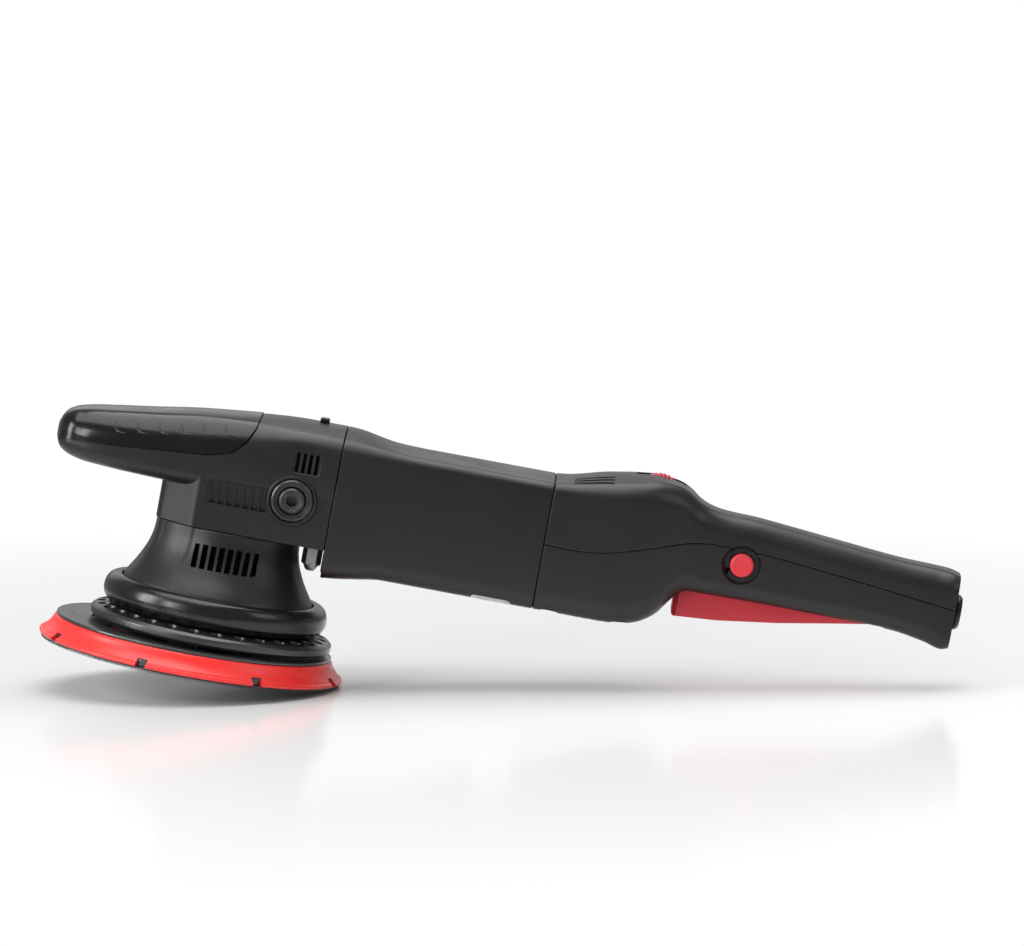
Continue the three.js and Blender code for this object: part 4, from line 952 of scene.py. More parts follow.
def lights():
    """Soft studio light: a broad box overhead, a fill at the front and a pale world."""
    world = bpy.data.worlds.new("studio")
    bpy.context.scene.world = world
    world.use_nodes = True
    background = world.node_tree.nodes["Background"]
    nodes = Nodes(world.node_tree)
    seen = nodes.add("LightPath").outputs["Is Camera Ray"]
    background.inputs["Color"].default_value = (1.0, 1.0, 1.0, 1)
    nodes.link(nodes.maths("MULTIPLY_ADD", seen, 0.74, 0.28), background.inputs["Strength"])
    upright = Matrix.Rotation(-TILT, 4, "Y")
    for name, place, target, size, watts in [
        ("overhead", (0.1, 0.2, 1.9), (0.12, 0.0, 0.05), (2.6, 1.6), 43),
        ("back_wall", (0.1, 2.6, 0.9), (0.12, 0.0, 0.1), (3.6, 1.0), 6),
        ("front_key", (-1.9, -2.2, 1.1), (-0.02, 0.0, 0.05), (0.5, 1.5), 30),
        ("tail_side", (2.0, -0.9, 1.2), (0.2, 0.0, 0.08), (1.0, 1.0), 5),
        ("nose_side", (-1.7, -0.6, 0.8), (-0.02, 0.0, 0.05), (0.6, 1.3), 24),
    ]:
        data = bpy.data.lights.new(name, "AREA")
        data.shape = "RECTANGLE"
        data.size, data.size_y = size
        data.energy = watts
        lamp = bpy.data.objects.new(name, data)
        lamp.visible_camera = False
        spot = upright @ Vector(place)
        lamp.matrix_world = (
            Matrix.Translation(spot)
            @ (Vector(target) - spot).to_track_quat("-Z", "Y").to_matrix().to_4x4()
        )
        bpy.context.scene.collection.objects.link(lamp)


# ---------------------------------------------------------------- backing plate
def plate_centre():
    return np.array([-ORBIT, 0, 0])


def radial_tools(count, start, make):
    """Copies of a tool spaced round the plate's axis."""
    made = []
    for k in range(count):
        tool = make()
        turn = start + k * 2 * math.pi / count
        points = np.array([v.co for v in tool.data.vertices])
        c, s = math.cos(turn), math.sin(turn)
        points = points @ np.array([[c, s, 0], [-s, c, 0], [0, 0, 1]])
        tool.data.vertices.foreach_set("co", points.ravel())
        made.append(tool)
    return made


def backing_plate():
    """The foam disc, its nylon top and its hook face."""
    foot, crest, rim = FOAM_LOW[2], FOAM_HIGH[2], FOAM_HIGH[1]
    bore = node_box("plate_hub")[1][1] + GAP
    flank = np.linspace(0, 1, 14)[1:-1]
    side = np.column_stack(
        [
            rim - 0.9 - 5.5 * flank**0.8 - 0.5 * np.sin(math.pi * flank),
            foot + 2.0 + (crest - foot - 2.4) * flank,
        ]
    )
    edge = rounded(
        [[rim - 4, foot], [rim, foot], [rim, foot + 1.5], [rim - 1.5, foot + 2.1]],
        [0, 0.7, 0.5, 0],
        5,
        closed=False,
    )
    crown = rounded(
        [side[-1], [rim - 6.9, crest], [rim - 12, crest]], [0, 0.6, 0], 5, closed=False
    )
    profile = np.concatenate(
        [[[bore, foot]], edge, side, crown, [[bore, crest]]]
    )
    foam = turned("foam_disc", profile, centre=plate_centre(), segments=240)
    half, depth = 2.6, 6.0

    def notch():
        tool = box_tool(rim - depth, rim + 2, -half, half, foot - 0.4, foot + 3.9)
        return shift_to_head(tool)

    notches = radial_tools(8, -math.pi / 12, notch)
    carve(foam, gathered("notches", *notches))
    dress(foam, "red_foam", "plate_foam")
    core = rounded(
        [[rim - 8, foot + 0.15], [rim - 3.2, foot + 0.15], [rim - 3.2, foot + 3.6],
         [rim - 8, foot + 3.6]],
        0.2,
        3,
    )
    band = turned("plate_core", core, centre=plate_centre(), segments=160)
    band.data.materials.append(MATERIALS["plate_nylon"])
    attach(band, "plate")

    top_low, top_high = TOP_LOW[2], TOP_HIGH[2]
    radius = TOP_HIGH[1]
    hub_bore = 9.4 + GAP
    disc = rounded(
        [
            [hub_bore, top_low],
            [radius, top_low],
            [radius, top_low + 1.3],
            [radius - 7, top_low + 1.3],
            [radius - 8, top_low + 0.9],
            [34, top_low + 0.9],
            [30, top_low + 1.3],
            [23, top_low + 1.5],
            [17, top_high],
            [hub_bore, top_high],
        ],
        [0, 0.2, 0.45, 0.4, 0.4, 1.2, 1.2, 1.5, 0.8, 0.2],
        4,
    )
    top = turned("plate_cover", disc, centre=plate_centre(), segments=160)

    def vent():
        angle = np.linspace(-0.165, 0.165, 14)
        outer = np.column_stack([51 * np.cos(angle), 51 * np.sin(angle)])
        inner = np.column_stack([45 * np.cos(angle), 45 * np.sin(angle)])[::-1]
        flat = rounded(np.concatenate([outer, inner]), 1.6, 3)
        rings = [np.column_stack([flat, np.full(len(flat), z)]) for z in (top_low - 1, 16.5)]
        return shift_to_head(skin("vent_tool", np.array(rings)))

    vents = radial_tools(8, math.radians(221), vent)
    carve(top, gathered("vents", *vents))
    dress(top, "plate_nylon", "plate_top")
    hook_face()


def shift_to_head(tool):
    """Moves a tool's points from the head's axis to the origin, to be turned about it."""
    points = np.array([v.co for v in tool.data.vertices]) - np.array([HEAD_X, 0, 0])
    tool.data.vertices.foreach_set("co", points.ravel())
    return tool


def hook_face():
    """The hook sheet: a thin disc with a mushroom-topped hook at every point of a hexagonal grid.

    Each hook is a four-sided stem that flares into a cap, leaning a little at random.
    """
    high, radius = HOOK_HIGH[2], HOOK_HIGH[1]
    sheet_low = high - 0.55
    sheet = turned(
        "hook_sheet",
        rounded(
            [[0, sheet_low], [radius, sheet_low], [radius, high], [0, high]],
            [0, 0.2, 0.1, 0],
            3,
        ),
        centre=plate_centre(),
        segments=160,
    )
    pitch = 1.75
    row = np.arange(-int(radius / pitch) - 1, int(radius / pitch) + 2)
    a, b = np.meshgrid(row, row)
    x = (a + 0.5 * (b % 2)) * pitch
    y = b * pitch * math.sqrt(3) / 2
    keep = x**2 + y**2 < (radius - 2.2) ** 2
    x, y = x[keep], y[keep]
    rim = np.linspace(0, 2 * math.pi, 380, endpoint=False)
    for inset in (0.42, 1.5):
        x = np.concatenate([x, (radius - inset) * np.cos(rim)])
        y = np.concatenate([y, (radius - inset) * np.sin(rim)])
    random = np.random.default_rng(7)
    lean = random.uniform(-0.12, 0.12, (2, len(x)))
    reach = sheet_low - random.uniform(0.02, 0.16, len(x))
    corner = np.array([[1, 1], [-1, 1], [-1, -1], [1, -1]]) / math.sqrt(2)
    levels = [(0.0, 0.2, sheet_low + 0.2), (0.6, 0.15, None), (0.85, 0.36, None), (1.0, 0.2, None)]
    points = []
    for share, width, height in levels:
        z = np.full(len(x), height) if height is not None else sheet_low - share * reach
        px = x[:, None] + lean[0][:, None] * share + width * corner[:, 0]
        py = y[:, None] + lean[1][:, None] * share + width * corner[:, 1]
        points.append(np.stack([px, py, np.repeat(z[:, None], 4, axis=1)], axis=-1))
    points = np.stack(points, axis=1).reshape(-1, 3)
    quads = np.array(grid_faces(4, 4))
    ends = np.array([[3, 2, 1, 0], [12, 13, 14, 15]])
    one = np.concatenate([quads, ends])
    faces = (np.arange(len(x)) * 16)[:, None, None] + one
    points[:, 0] -= ORBIT
    hooks = build("hooks", points, faces.reshape(-1, 4).tolist())
    face = gathered("hook_face", sheet, hooks)
    shade(face, 50)
    dress(face, "hooks", "plate_hook_face")


# ---------------------------------------------------------------- vent ring, boot and bell
def vent_ring():
    """The stationary ring with its thirty air holes."""
    low, high = RING_LOW[2], RING_HIGH[2]
    rim = RING_HIGH[1]
    collar = SKIRT - WALL - GAP
    shelf = BOOT_LOW[2] - GAP
    profile = rounded(
        [
            [30, low],
            [rim - 1.4, low],
            [rim, low + 1.4],
            [rim, low + 4.2],
            [rim - 1.6, low + 5.6],
            [collar + 5.2, shelf],
            [collar, shelf],
            [collar, high],
            [collar - 2.2, high],
            [collar - 2.2, low + 2.6],
            [30, low + 2.6],
        ],
        [0.4, 1.0, 1.0, 1.0, 0.8, 0.5, 0.2, 0.5, 0.5, 0.6, 0.4],
        5,
    )
    ring = turned("air_ring", profile, segments=180)
    middle = (rim + collar + 4) / 2
    tools = []
    for k in range(30):
        angle = k * math.pi / 15
        outline = [[0, low + 2.0], [3.0, low + 2.0], [3.0, shelf - 1.3], [3.5, shelf + 1.0],
                   [0, shelf + 1.0]]
        centre = (middle * math.cos(angle), middle * math.sin(angle), 0)
        tools.append(turned("hole_tool", outline, centre=centre, segments=20))
    carve(ring, gathered("holes", *tools))
    dress(ring, "nylon", "vent_ring")


def rubber_boot():
    """The fat rubber boot: an oval ring with a bead under it, and a small moulded tab in front."""
    low, high, outer = BOOT_LOW[2], BOOT_HIGH[2], BOOT_HIGH[1]
    inner = SKIRT + GAP
    middle, half = (low + high) / 2, (high - low) / 2
    turn = np.linspace(-math.pi / 2, math.pi / 2, 30)
    swell = np.abs(np.cos(turn)) ** np.where(turn < 0, 1.15, 0.86)
    arc = np.column_stack([inner + 1.9 + (outer - inner - 1.9) * swell, middle + half * np.sin(turn)])
    profile = np.concatenate([[[inner, low + 0.2]], arc, [[inner, high - 0.2]]])

    def tab(angle, radius, height):
        front = np.angle(np.exp(1j * (angle + math.pi / 2 - 0.08)))
        window = 1 / (1 + np.exp(np.clip((np.abs(front) - 0.1) / 0.01, -40, 40)))
        band = 1 / (1 + np.exp(np.clip((np.abs(height - middle - 2.4) - 1.5) / 0.2, -40, 40)))
        outside = radius > inner + 3
        lip = 0.35 * np.exp(-(((height - low - 2.2) / 0.5) ** 2)) * outside
        return -0.5 * window * band * outside - lip

    boot = turned("rubber_boot_skin", profile, segments=360, wobble=tab)
    dress(boot, "boot", "rubber_boot")


SHOULDER = BELL_LOW[2] + 12.6
BELL_PLAN = rounded(
    [[33.9, -15], [33.9, 15], [16.5, 29], [-16.5, 29], [-33.9, 15], [-33.9, -15], [-16.5, -29],
     [16.5, -29]],
    [10, 10, 5, 5, 10, 10, 5, 5],
    10,
)
FLARE = [[0, 0.94], [0.1, 0.79], [0.25, 0.55], [0.42, 0.32], [0.6, 0.135], [0.8, 0.03], [1, 0]]


def bell_rings(z, flare, grow, count=240):
    """Rings round the head's axis, radius = plan * (1 - flare) + skirt * flare + grow.

    The plan is the bell's eight-cornered top, read as a radius at every angle.
    """
    angle = np.arange(count) / count * 2 * math.pi
    around = np.arctan2(BELL_PLAN[:, 1], BELL_PLAN[:, 0])
    plan = np.interp(angle, around, np.hypot(*BELL_PLAN.T), period=2 * math.pi)
    z, flare, grow = np.broadcast_arrays(*(np.atleast_1d(np.asarray(v, float)) for v in (z, flare, grow)))
    radius = plan[None] * (1 - flare[:, None]) + (SKIRT - 0.3) * flare[:, None] + grow[:, None]
    return np.stack(
        [radius * np.cos(angle), radius * np.sin(angle), np.repeat(z[:, None], count, axis=1)],
        axis=-1,
    )


def bell():
    """The bell: an eight-cornered top that flares into the round skirt."""
    top = BELL_HIGH[2]
    rise = top - SHOULDER

    def rings(share, grow):
        share = np.asarray(share, float)
        return bell_rings(SHOULDER + share * rise, smooth_rows(FLARE, share)[:, 0], grow)

    def skirt(z, radius):
        return bell_rings(z, 1.0, np.asarray(radius, float) - SKIRT + 0.3)

    foot = BELL_LOW[2]
    round_over = np.linspace(0, math.pi / 2, 6)[:-1]
    share = np.linspace(0, 1 - 0.7 / rise, 46)
    rim = rings(np.full(5, 1.0), -0.7 * (1 - np.cos(round_over)))
    rim[..., 2] = top - 0.7 + 0.7 * np.sin(round_over)[:, None]
    throat = node_box("spindle_bearing_lower")[1][1] + 4.3
    lip = skirt([top, top - WALL], throat)
    inner_share = np.linspace(1 - WALL / rise, 0.02, 24)
    wall = np.concatenate(
        [
            skirt([foot, foot + 4, SHOULDER - 5, SHOULDER - 2.4], SKIRT),
            rings(share, 0.0),
            rim,
            lip,
            rings(inner_share, -WALL),
            skirt([SHOULDER - 5, foot], SKIRT - WALL),
        ]
    )
    shroud = skin("bell_shroud_skin", wall, wrap_rows=True, caps=False)
    middle = SHOULDER + 0.58 * rise
    tools = []
    for k in range(8):
        x = 2.4 + (k - 3.5) * 4.15
        for side in (-1, 1):
            tools.append(
                slot_tool(x - 1.15, x + 1.15, middle - 5.5, middle + 5.5, side * 20, side * 45,
                          side * 31.2, 0.25, 0.3)
            )
    carve(shroud, gathered("bell_slots", *tools))
    dress(shroud, "casing", "bell_shroud")
    for side, name in ((1, "left"), (-1, "right")):
        screen(f"bell_screen_{name}", -17, 21, middle - 7.5, middle + 7.5, side * 24.3)


# ---------------------------------------------------------------- head cover and grip
GRIP_DEPTH = 1.2


def grip_outline(shrink):
    """The grip seen from the side: over the nose's top and down its flanks to a long low line."""
    line = NOSE_BOTTOM + 9.8 + shrink
    crest = CASING_TOP + 14
    lower = [
        [-4, 0],
        [25, 2.6],
        [50, 5],
        [76, 7.2],
        [87 - shrink, 10.4],
        [93 - shrink, 16.5],
        [96.5 - shrink, 24],
    ]
    points = [[NOSE_TIP + x, line + z] for x, z in lower]
    points += [[NOSE_TIP + 98 - shrink, crest], [NOSE_TIP - 4, crest]]
    return rounded(points, [0, 30, 30, 20, 9, 9, 9, 0, 0], 6)


def nose_places(count=90):
    """Places along the head, close together where the nose's tip turns."""
    share = np.linspace(0, 1, count)
    return NOSE_TIP + (HEAD_REAR - NOSE_TIP) * (0.35 * share + 0.65 * share**2.2)


def head_loft(grow, rear=0.0):
    """The head's closed outer form, moved outwards by grow. rear lengthens its back end."""
    x = nose_places()
    rings = lofted(HEAD_STATIONS, x, grow)
    if grow < 0:
        rings[:, :, 0] = np.maximum(rings[:, :, 0], NOSE_TIP - grow)
    rings[-1, :, 0] += rear
    return skin("head_loft", rings)


RIDGE_X = -17.0  # where the neck's flat side turns towards its front


def head_side(x, z):
    """How far the head's side stands out at a place, its lower corner left out."""
    values = smooth_rows(HEAD_STATIONS, x)
    half, low, high, corner, bulge = (values[:, k] for k in (0, 1, 2, 4, 5))
    straight = low + corner
    middle, height = (low + high) / 2, (high - low) / 2
    up = (np.maximum(z, straight) - middle) / height
    return half + bulge * (1 - up**2) - 0.018 * np.maximum(straight - z, 0)


def neck_form(grow, low, high):
    """The neck: a plan with a ridge each side, its sides carried on from the head's own sides."""
    plan = rounded(
        [
            [HEAD_REAR, -1],
            [HEAD_REAR, 1],
            [RIDGE_X, 1],
            [NECK_FRONT - grow, 0.5],
            [NECK_FRONT - grow, -0.5],
            [RIDGE_X, -1],
        ]
        * np.array([1, CASING_HALF]),
        [0, 0, 3.5, 9, 9, 3.5],
        12,
    )
    dense = [plan[-1:] * 0.5 + plan[:1] * 0.5]
    for first, second in zip(plan, np.roll(plan, -1, axis=0)):
        count = max(1, int(np.linalg.norm(second - first) / 3))
        dense.append(first + (second - first) * (np.arange(count) / count)[:, None])
    plan = np.concatenate(dense[1:])
    rings = []
    for z in np.linspace(low, high, 16):
        side = head_side(plan[:, 0], z) - 0.03 + grow
        rings.append(
            np.column_stack([plan[:, 0], plan[:, 1] / CASING_HALF * side, np.full(len(plan), z)])
        )
    return skin("neck_form", np.array(rings))


def vent_tools(x, count, pitch, width, z0, z1, depth, flare=0.25):
    """A row of upright slots in both sides of a casing, cut to a depth."""
    tools = []
    for k in range(count):
        middle = x + (k - (count - 1) / 2) * pitch
        for side in (-1, 1):
            face = side * (CASING_HALF + 0.8)
            tools.append(
                slot_tool(
                    middle - width / 2,
                    middle + width / 2,
                    z0,
                    z1,
                    side * (abs(face) - depth),
                    side * 40,
                    face,
                    flare,
                    0.5,
                )
            )
    return tools


def panel_tools(x0, x1, z0, z1, depth):
    """A shallow sunk panel round a group of slots, in both sides."""
    return [
        slot_tool(x0, x1, z0, z1, side * (CASING_HALF + 0.75 - depth), side * 40,
                  side * (CASING_HALF + 0.9), 0.3, 1.0)
        for side in (-1, 1)
    ]


def head_cover():
    """The head cover with its nose, neck, vents, boss holes and the grip's recess."""
    cover = head_loft(0.0)
    carve(cover, neck_form(0.0, BELL_TOP, MOTOR_AXIS + 8), operation="UNION")
    hollow = head_loft(-WALL, rear=3)
    carve(hollow, neck_form(-WALL, BELL_TOP - 1, MOTOR_AXIS + 4), operation="UNION")
    rear_floor = box_tool(-NECK_FRONT + 0.2, HEAD_REAR + 4, -40, 40, BELL_TOP - 3, BELL_TOP + WALL)
    carve(hollow, rear_floor)
    carve(cover, hollow)

    recess = head_loft(4.0)
    carve(recess, head_loft(-GRIP_DEPTH - GAP))
    carve(recess, extruded("recess", grip_outline(0), -60, 60, 0.01, 1), operation="INTERSECT")
    carve(cover, recess)

    boss = node_box("handle_boss_right")
    boss_x = (boss[0][0] + boss[1][0]) / 2
    boss_r = (boss[1][0] - boss[0][0]) / 2
    bores = [
        turned("bore", [[0, side * 20], [boss_r + GAP, side * 20],
                        [boss_r + GAP, side * (CASING_HALF + 0.2)],
                        [boss_r + GAP, side * 40], [0, side * 40]],
               "y", (boss_x, 0, MOTOR_AXIS), 64)
        for side in (-1, 1)
    ]
    pin_x = (node_box("lock_pin")[0][0] + node_box("lock_pin")[1][0]) / 2
    bores.append(
        turned("pin_bore", [[0, BELL_TOP - 2], [4.1, BELL_TOP - 2], [4.1, BELL_TOP + 6], [0, BELL_TOP + 6]],
               centre=(pin_x, 0, 0), segments=40)
    )
    carve(cover, gathered("bores", *bores))

    axis = MOTOR_AXIS
    top = CASING_TOP
    panels = panel_tools(-12.2, 17.6, axis - 8.2, axis + 3.2, 0.55)
    panels += panel_tools(26.6, 39.6, top - 17.4, top - 7.2, 0.45)
    carve(cover, gathered("panels", *panels))
    face = CASING_HALF + SIDE_BULGE - 0.7
    scoops = [
        scoop_tool(x - 1.55, x + 1.55, axis - 7.9, axis + 2.9, face, side)
        for x in 3.4 + (np.arange(7) - 3) * 4.1
        for side in (-1, 1)
    ]
    through = vent_tools(boss_x + 4.1, 4, 3.1, 1.7, top - 17.1, top - 7.6, 6.0)
    carve(cover, gathered("vents", *(scoops + through)))
    for side in (-1, 1):
        y = side * (CASING_HALF + SIDE_BULGE - 2.0)
        ring = rounded(
            [[boss_r + 0.35, y], [boss_r + 0.35, side * (CASING_HALF + 1.95)],
             [boss_r + 1.6, side * (CASING_HALF + 1.95)], [boss_r + 2.6, y]],
            [0, 0.4, 0.7, 0],
            5,
        )
        carve(cover, turned("collar", ring, "y", (boss_x, 0, MOTOR_AXIS), 96), operation="UNION")
    dress(cover, "casing", "head_cover")
    for side, name in ((1, "left"), (-1, "right")):
        screen(f"head_screen_{name}", 25, 41, top - 18.5, top - 6.5, side * 27.6)
    sleeve("head_sleeve", MOTOR_STATIONS, HEAD_REAR + 0.1, HEAD_REAR + 5, -WALL - 0.05, -WALL - 1)


def nose_grip():
    """The rubber grip, a skin that lies in its recess, with a row of raised crescents."""
    grip = head_loft(0.45)
    carve(grip, head_loft(-GRIP_DEPTH))
    carve(grip, extruded("grip_side", grip_outline(GAP + 0.4), -60, 60, 0.01, 1), operation="INTERSECT")
    marks = [
        crescent(x, 113.4 + 0.165 * (x + 36.6), side)
        for x in -58.0 + 10.6 * np.arange(6)
        for side in (-1, 1)
    ]
    whole = gathered("nose_grip_skin", grip, *marks)
    shade(whole)
    dress(whole, "grip", "nose_grip")


def flank(x, z, grow):
    """How far the head's flank stands out at each x and z."""
    rings = lofted(HEAD_STATIONS, x, grow)
    out = []
    for ring, height in zip(rings, z):
        right = ring[ring[:, 1] > 0]
        right = right[np.argsort(right[:, 2])]
        out.append(np.interp(height, right[:, 2], right[:, 1]))
    return np.array(out)


def crescent(x, z, side):
    """A raised crescent: a thin tapering bar bent round an arc on the grip's flank."""
    count = 17
    angle = np.linspace(math.radians(165), math.radians(305), count)
    px, pz = x + 3.9 * np.cos(angle), z + 3.9 * np.sin(angle)
    py = flank(px, pz, 0.45)
    thick = 0.14 + 0.46 * np.sin(np.linspace(0, math.pi, count)) ** 0.7
    around = np.linspace(0, 2 * math.pi, 8, endpoint=False)
    out = thick[:, None] * np.cos(around)
    rings = np.stack(
        [
            px[:, None] + out * np.cos(angle)[:, None],
            side * (py[:, None] + 0.8 * thick[:, None] * np.sin(around)),
            pz[:, None] + out * np.sin(angle)[:, None],
        ],
        axis=-1,
    )
    return skin("crescent", rings)


# ---------------------------------------------------------------- motor housing
def motor_housing():
    """The motor housing: one drawn tube of casing rings, open at both ends."""
    x, grow = end_rounding(MOTOR_FRONT, MOTOR_REAR, 0.35, 70)
    outer = lofted(MOTOR_STATIONS, x, grow)
    inner = lofted(MOTOR_STATIONS, np.linspace(MOTOR_REAR, MOTOR_FRONT, 30), -WALL)
    housing = skin(
        "motor_housing_skin", np.concatenate([outer, inner]), wrap_rows=True, caps=False
    )
    dress(housing, "casing", "motor_housing")

    sleeve("tail_sleeve", MOTOR_STATIONS, MOTOR_REAR - 4, TAIL_FRONT + 4, -WALL - 0.05, -WALL - 1)
    sleeve("tail_gasket", MOTOR_STATIONS, MOTOR_REAR + 0.05, TAIL_FRONT - 0.05, -0.5, -WALL)

    low, high = node_box("rating_plate")
    reach, radius = CASING_HALF - 2.4, 2.0
    y = np.linspace(-reach, reach, 90)
    ring = lofted(MOTOR_STATIONS, np.array([(low[0] + high[0]) / 2]))[0]
    under = ring[ring[:, 2] < MOTOR_AXIS - 8]
    under = under[np.argsort(under[:, 1])]
    height = np.interp(y, under[:, 1], under[:, 2])
    step = np.maximum(np.abs(y) - reach + radius, 0)
    draw = radius - np.sqrt(np.maximum(radius**2 - step**2, 0))
    corners = [(low[0], -0.02, 1), (high[0], -0.02, -1), (high[0], -0.16, -1), (low[0], -0.16, 1)]
    rings = [np.column_stack([x + side * draw, y, height + lift]) for x, lift, side in corners]
    label = skin("rating_foil", np.stack(rings, axis=1))
    dress(label, "foil", "rating_plate")


# ---------------------------------------------------------------- tail and handle
SEAM = [
    [TAIL_FRONT - 5.3, MOTOR_AXIS + 1.6],
    [TAIL_FRONT + 13.7, MOTOR_AXIS + 1.2],
    [TAIL_FRONT + 28.7, MOTOR_AXIS + 2.6],
    [TAIL_FRONT + 50.7, MOTOR_AXIS + 8.4],
    [TAIL_FRONT + 70.7, MOTOR_AXIS + 14],
    [TAIL_FRONT + 86.7, MOTOR_AXIS + 15.2],
    [TAIL_FRONT + 104.7, MOTOR_AXIS + 14.6],
    [TAIL_FRONT + 139.7, MOTOR_AXIS + 11.4],
    [TAIL_END + 5, MOTOR_AXIS + 4],
]


def seam_height(x):
    return smooth_rows(SEAM, x)[:, 0]


def half_shell(name, upper):
    """One half of the tail's clamshell, above or below the wavy seam.

    Each casing ring is cut where it crosses the seam's height, and the stretch that belongs to
    this half is divided again by its own length, so the seam is a row of the grid. Close to the
    seam the wall is drawn in along a quarter round, which gives the joint its groove.
    """
    x, grow = end_rounding(TAIL_FRONT, TAIL_END, 0.35, 190, end=False)
    rings = lofted(TAIL_STATIONS, x, grow)
    inside = lofted(TAIL_STATIONS, x, np.minimum(grow, 0) - WALL)
    seam = seam_height(x) + (0.12 if upper else -0.12)
    columns = 150
    groove = 0.5
    rows = []
    for ring, line in zip(rings, seam):
        rows.append(cut_ring(ring, line, upper, columns, groove))
    outer = np.array(rows)
    inner = np.array([cut_ring(r, line, upper, 60, 0) for r, line in zip(inside, seam)])
    inner[:, :, 0] = np.minimum(inner[:, :, 0], TAIL_END - WALL)
    wall = np.concatenate([outer, inner[:, ::-1]], axis=1)
    shell = skin(name, wall, caps=False)
    return close_ends(shell)


def close_ends(shell):
    """Fills the shell's open front rim and its back wall."""
    work = bmesh.new()
    work.from_mesh(shell.data)
    open_edges = [e for e in work.edges if len(e.link_faces) == 1]
    bmesh.ops.holes_fill(work, edges=open_edges, sides=0)
    bmesh.ops.recalc_face_normals(work, faces=work.faces)
    work.to_mesh(shell.data)
    work.free()
    shade(shell)
    return shell


def cut_ring(ring, line, upper, columns, groove):
    """The part of one ring above or below a height, spread evenly by length."""
    order = ring if upper else np.roll(ring, len(ring) // 2, axis=0)
    z = order[:, 2] - line
    if not upper:
        z = -z
    # start the walk at a point that belongs to the other half
    first = int(np.argmin(z))
    order, z = np.roll(order, -first, axis=0), np.roll(z, -first)
    inside = np.flatnonzero(z > 0)
    a, b = inside[0], inside[-1]
    enter = order[a - 1] + (order[a] - order[a - 1]) * (-z[a - 1] / (z[a] - z[a - 1]))
    after = (b + 1) % len(order)
    leave = order[b] + (order[after] - order[b]) * (z[b] / (z[b] - z[after]))
    path = np.concatenate([[enter], order[a : b + 1], [leave]])
    length = np.concatenate([[0], np.cumsum(np.linalg.norm(np.diff(path, axis=0), axis=1))])
    ease = 0.5 - 0.5 * np.cos(np.linspace(0, math.pi, columns))
    spread = 0.25 * ease + 0.75 * np.linspace(0, 1, columns)
    if groove:
        near = groove / length[-1]
        spread = np.concatenate(
            [np.linspace(0, near, 6)[:-1], np.linspace(near, 1 - near, columns - 10),
             np.linspace(1 - near, 1, 6)[1:]]
        )
    at = spread * length[-1]
    points = np.stack([np.interp(at, length, path[:, k]) for k in range(3)], axis=-1)
    if groove:
        centre = points.mean(axis=0)
        depth = np.minimum(at, length[-1] - at)
        drawn = groove - np.sqrt(np.maximum(groove**2 - np.maximum(groove - depth, 0) ** 2, 0))
        inwards = np.zeros_like(points)
        inwards[:, 1] = -np.sign(points[:, 1] - centre[1] * 0)
        points = points + inwards * drawn[:, None]
    return points


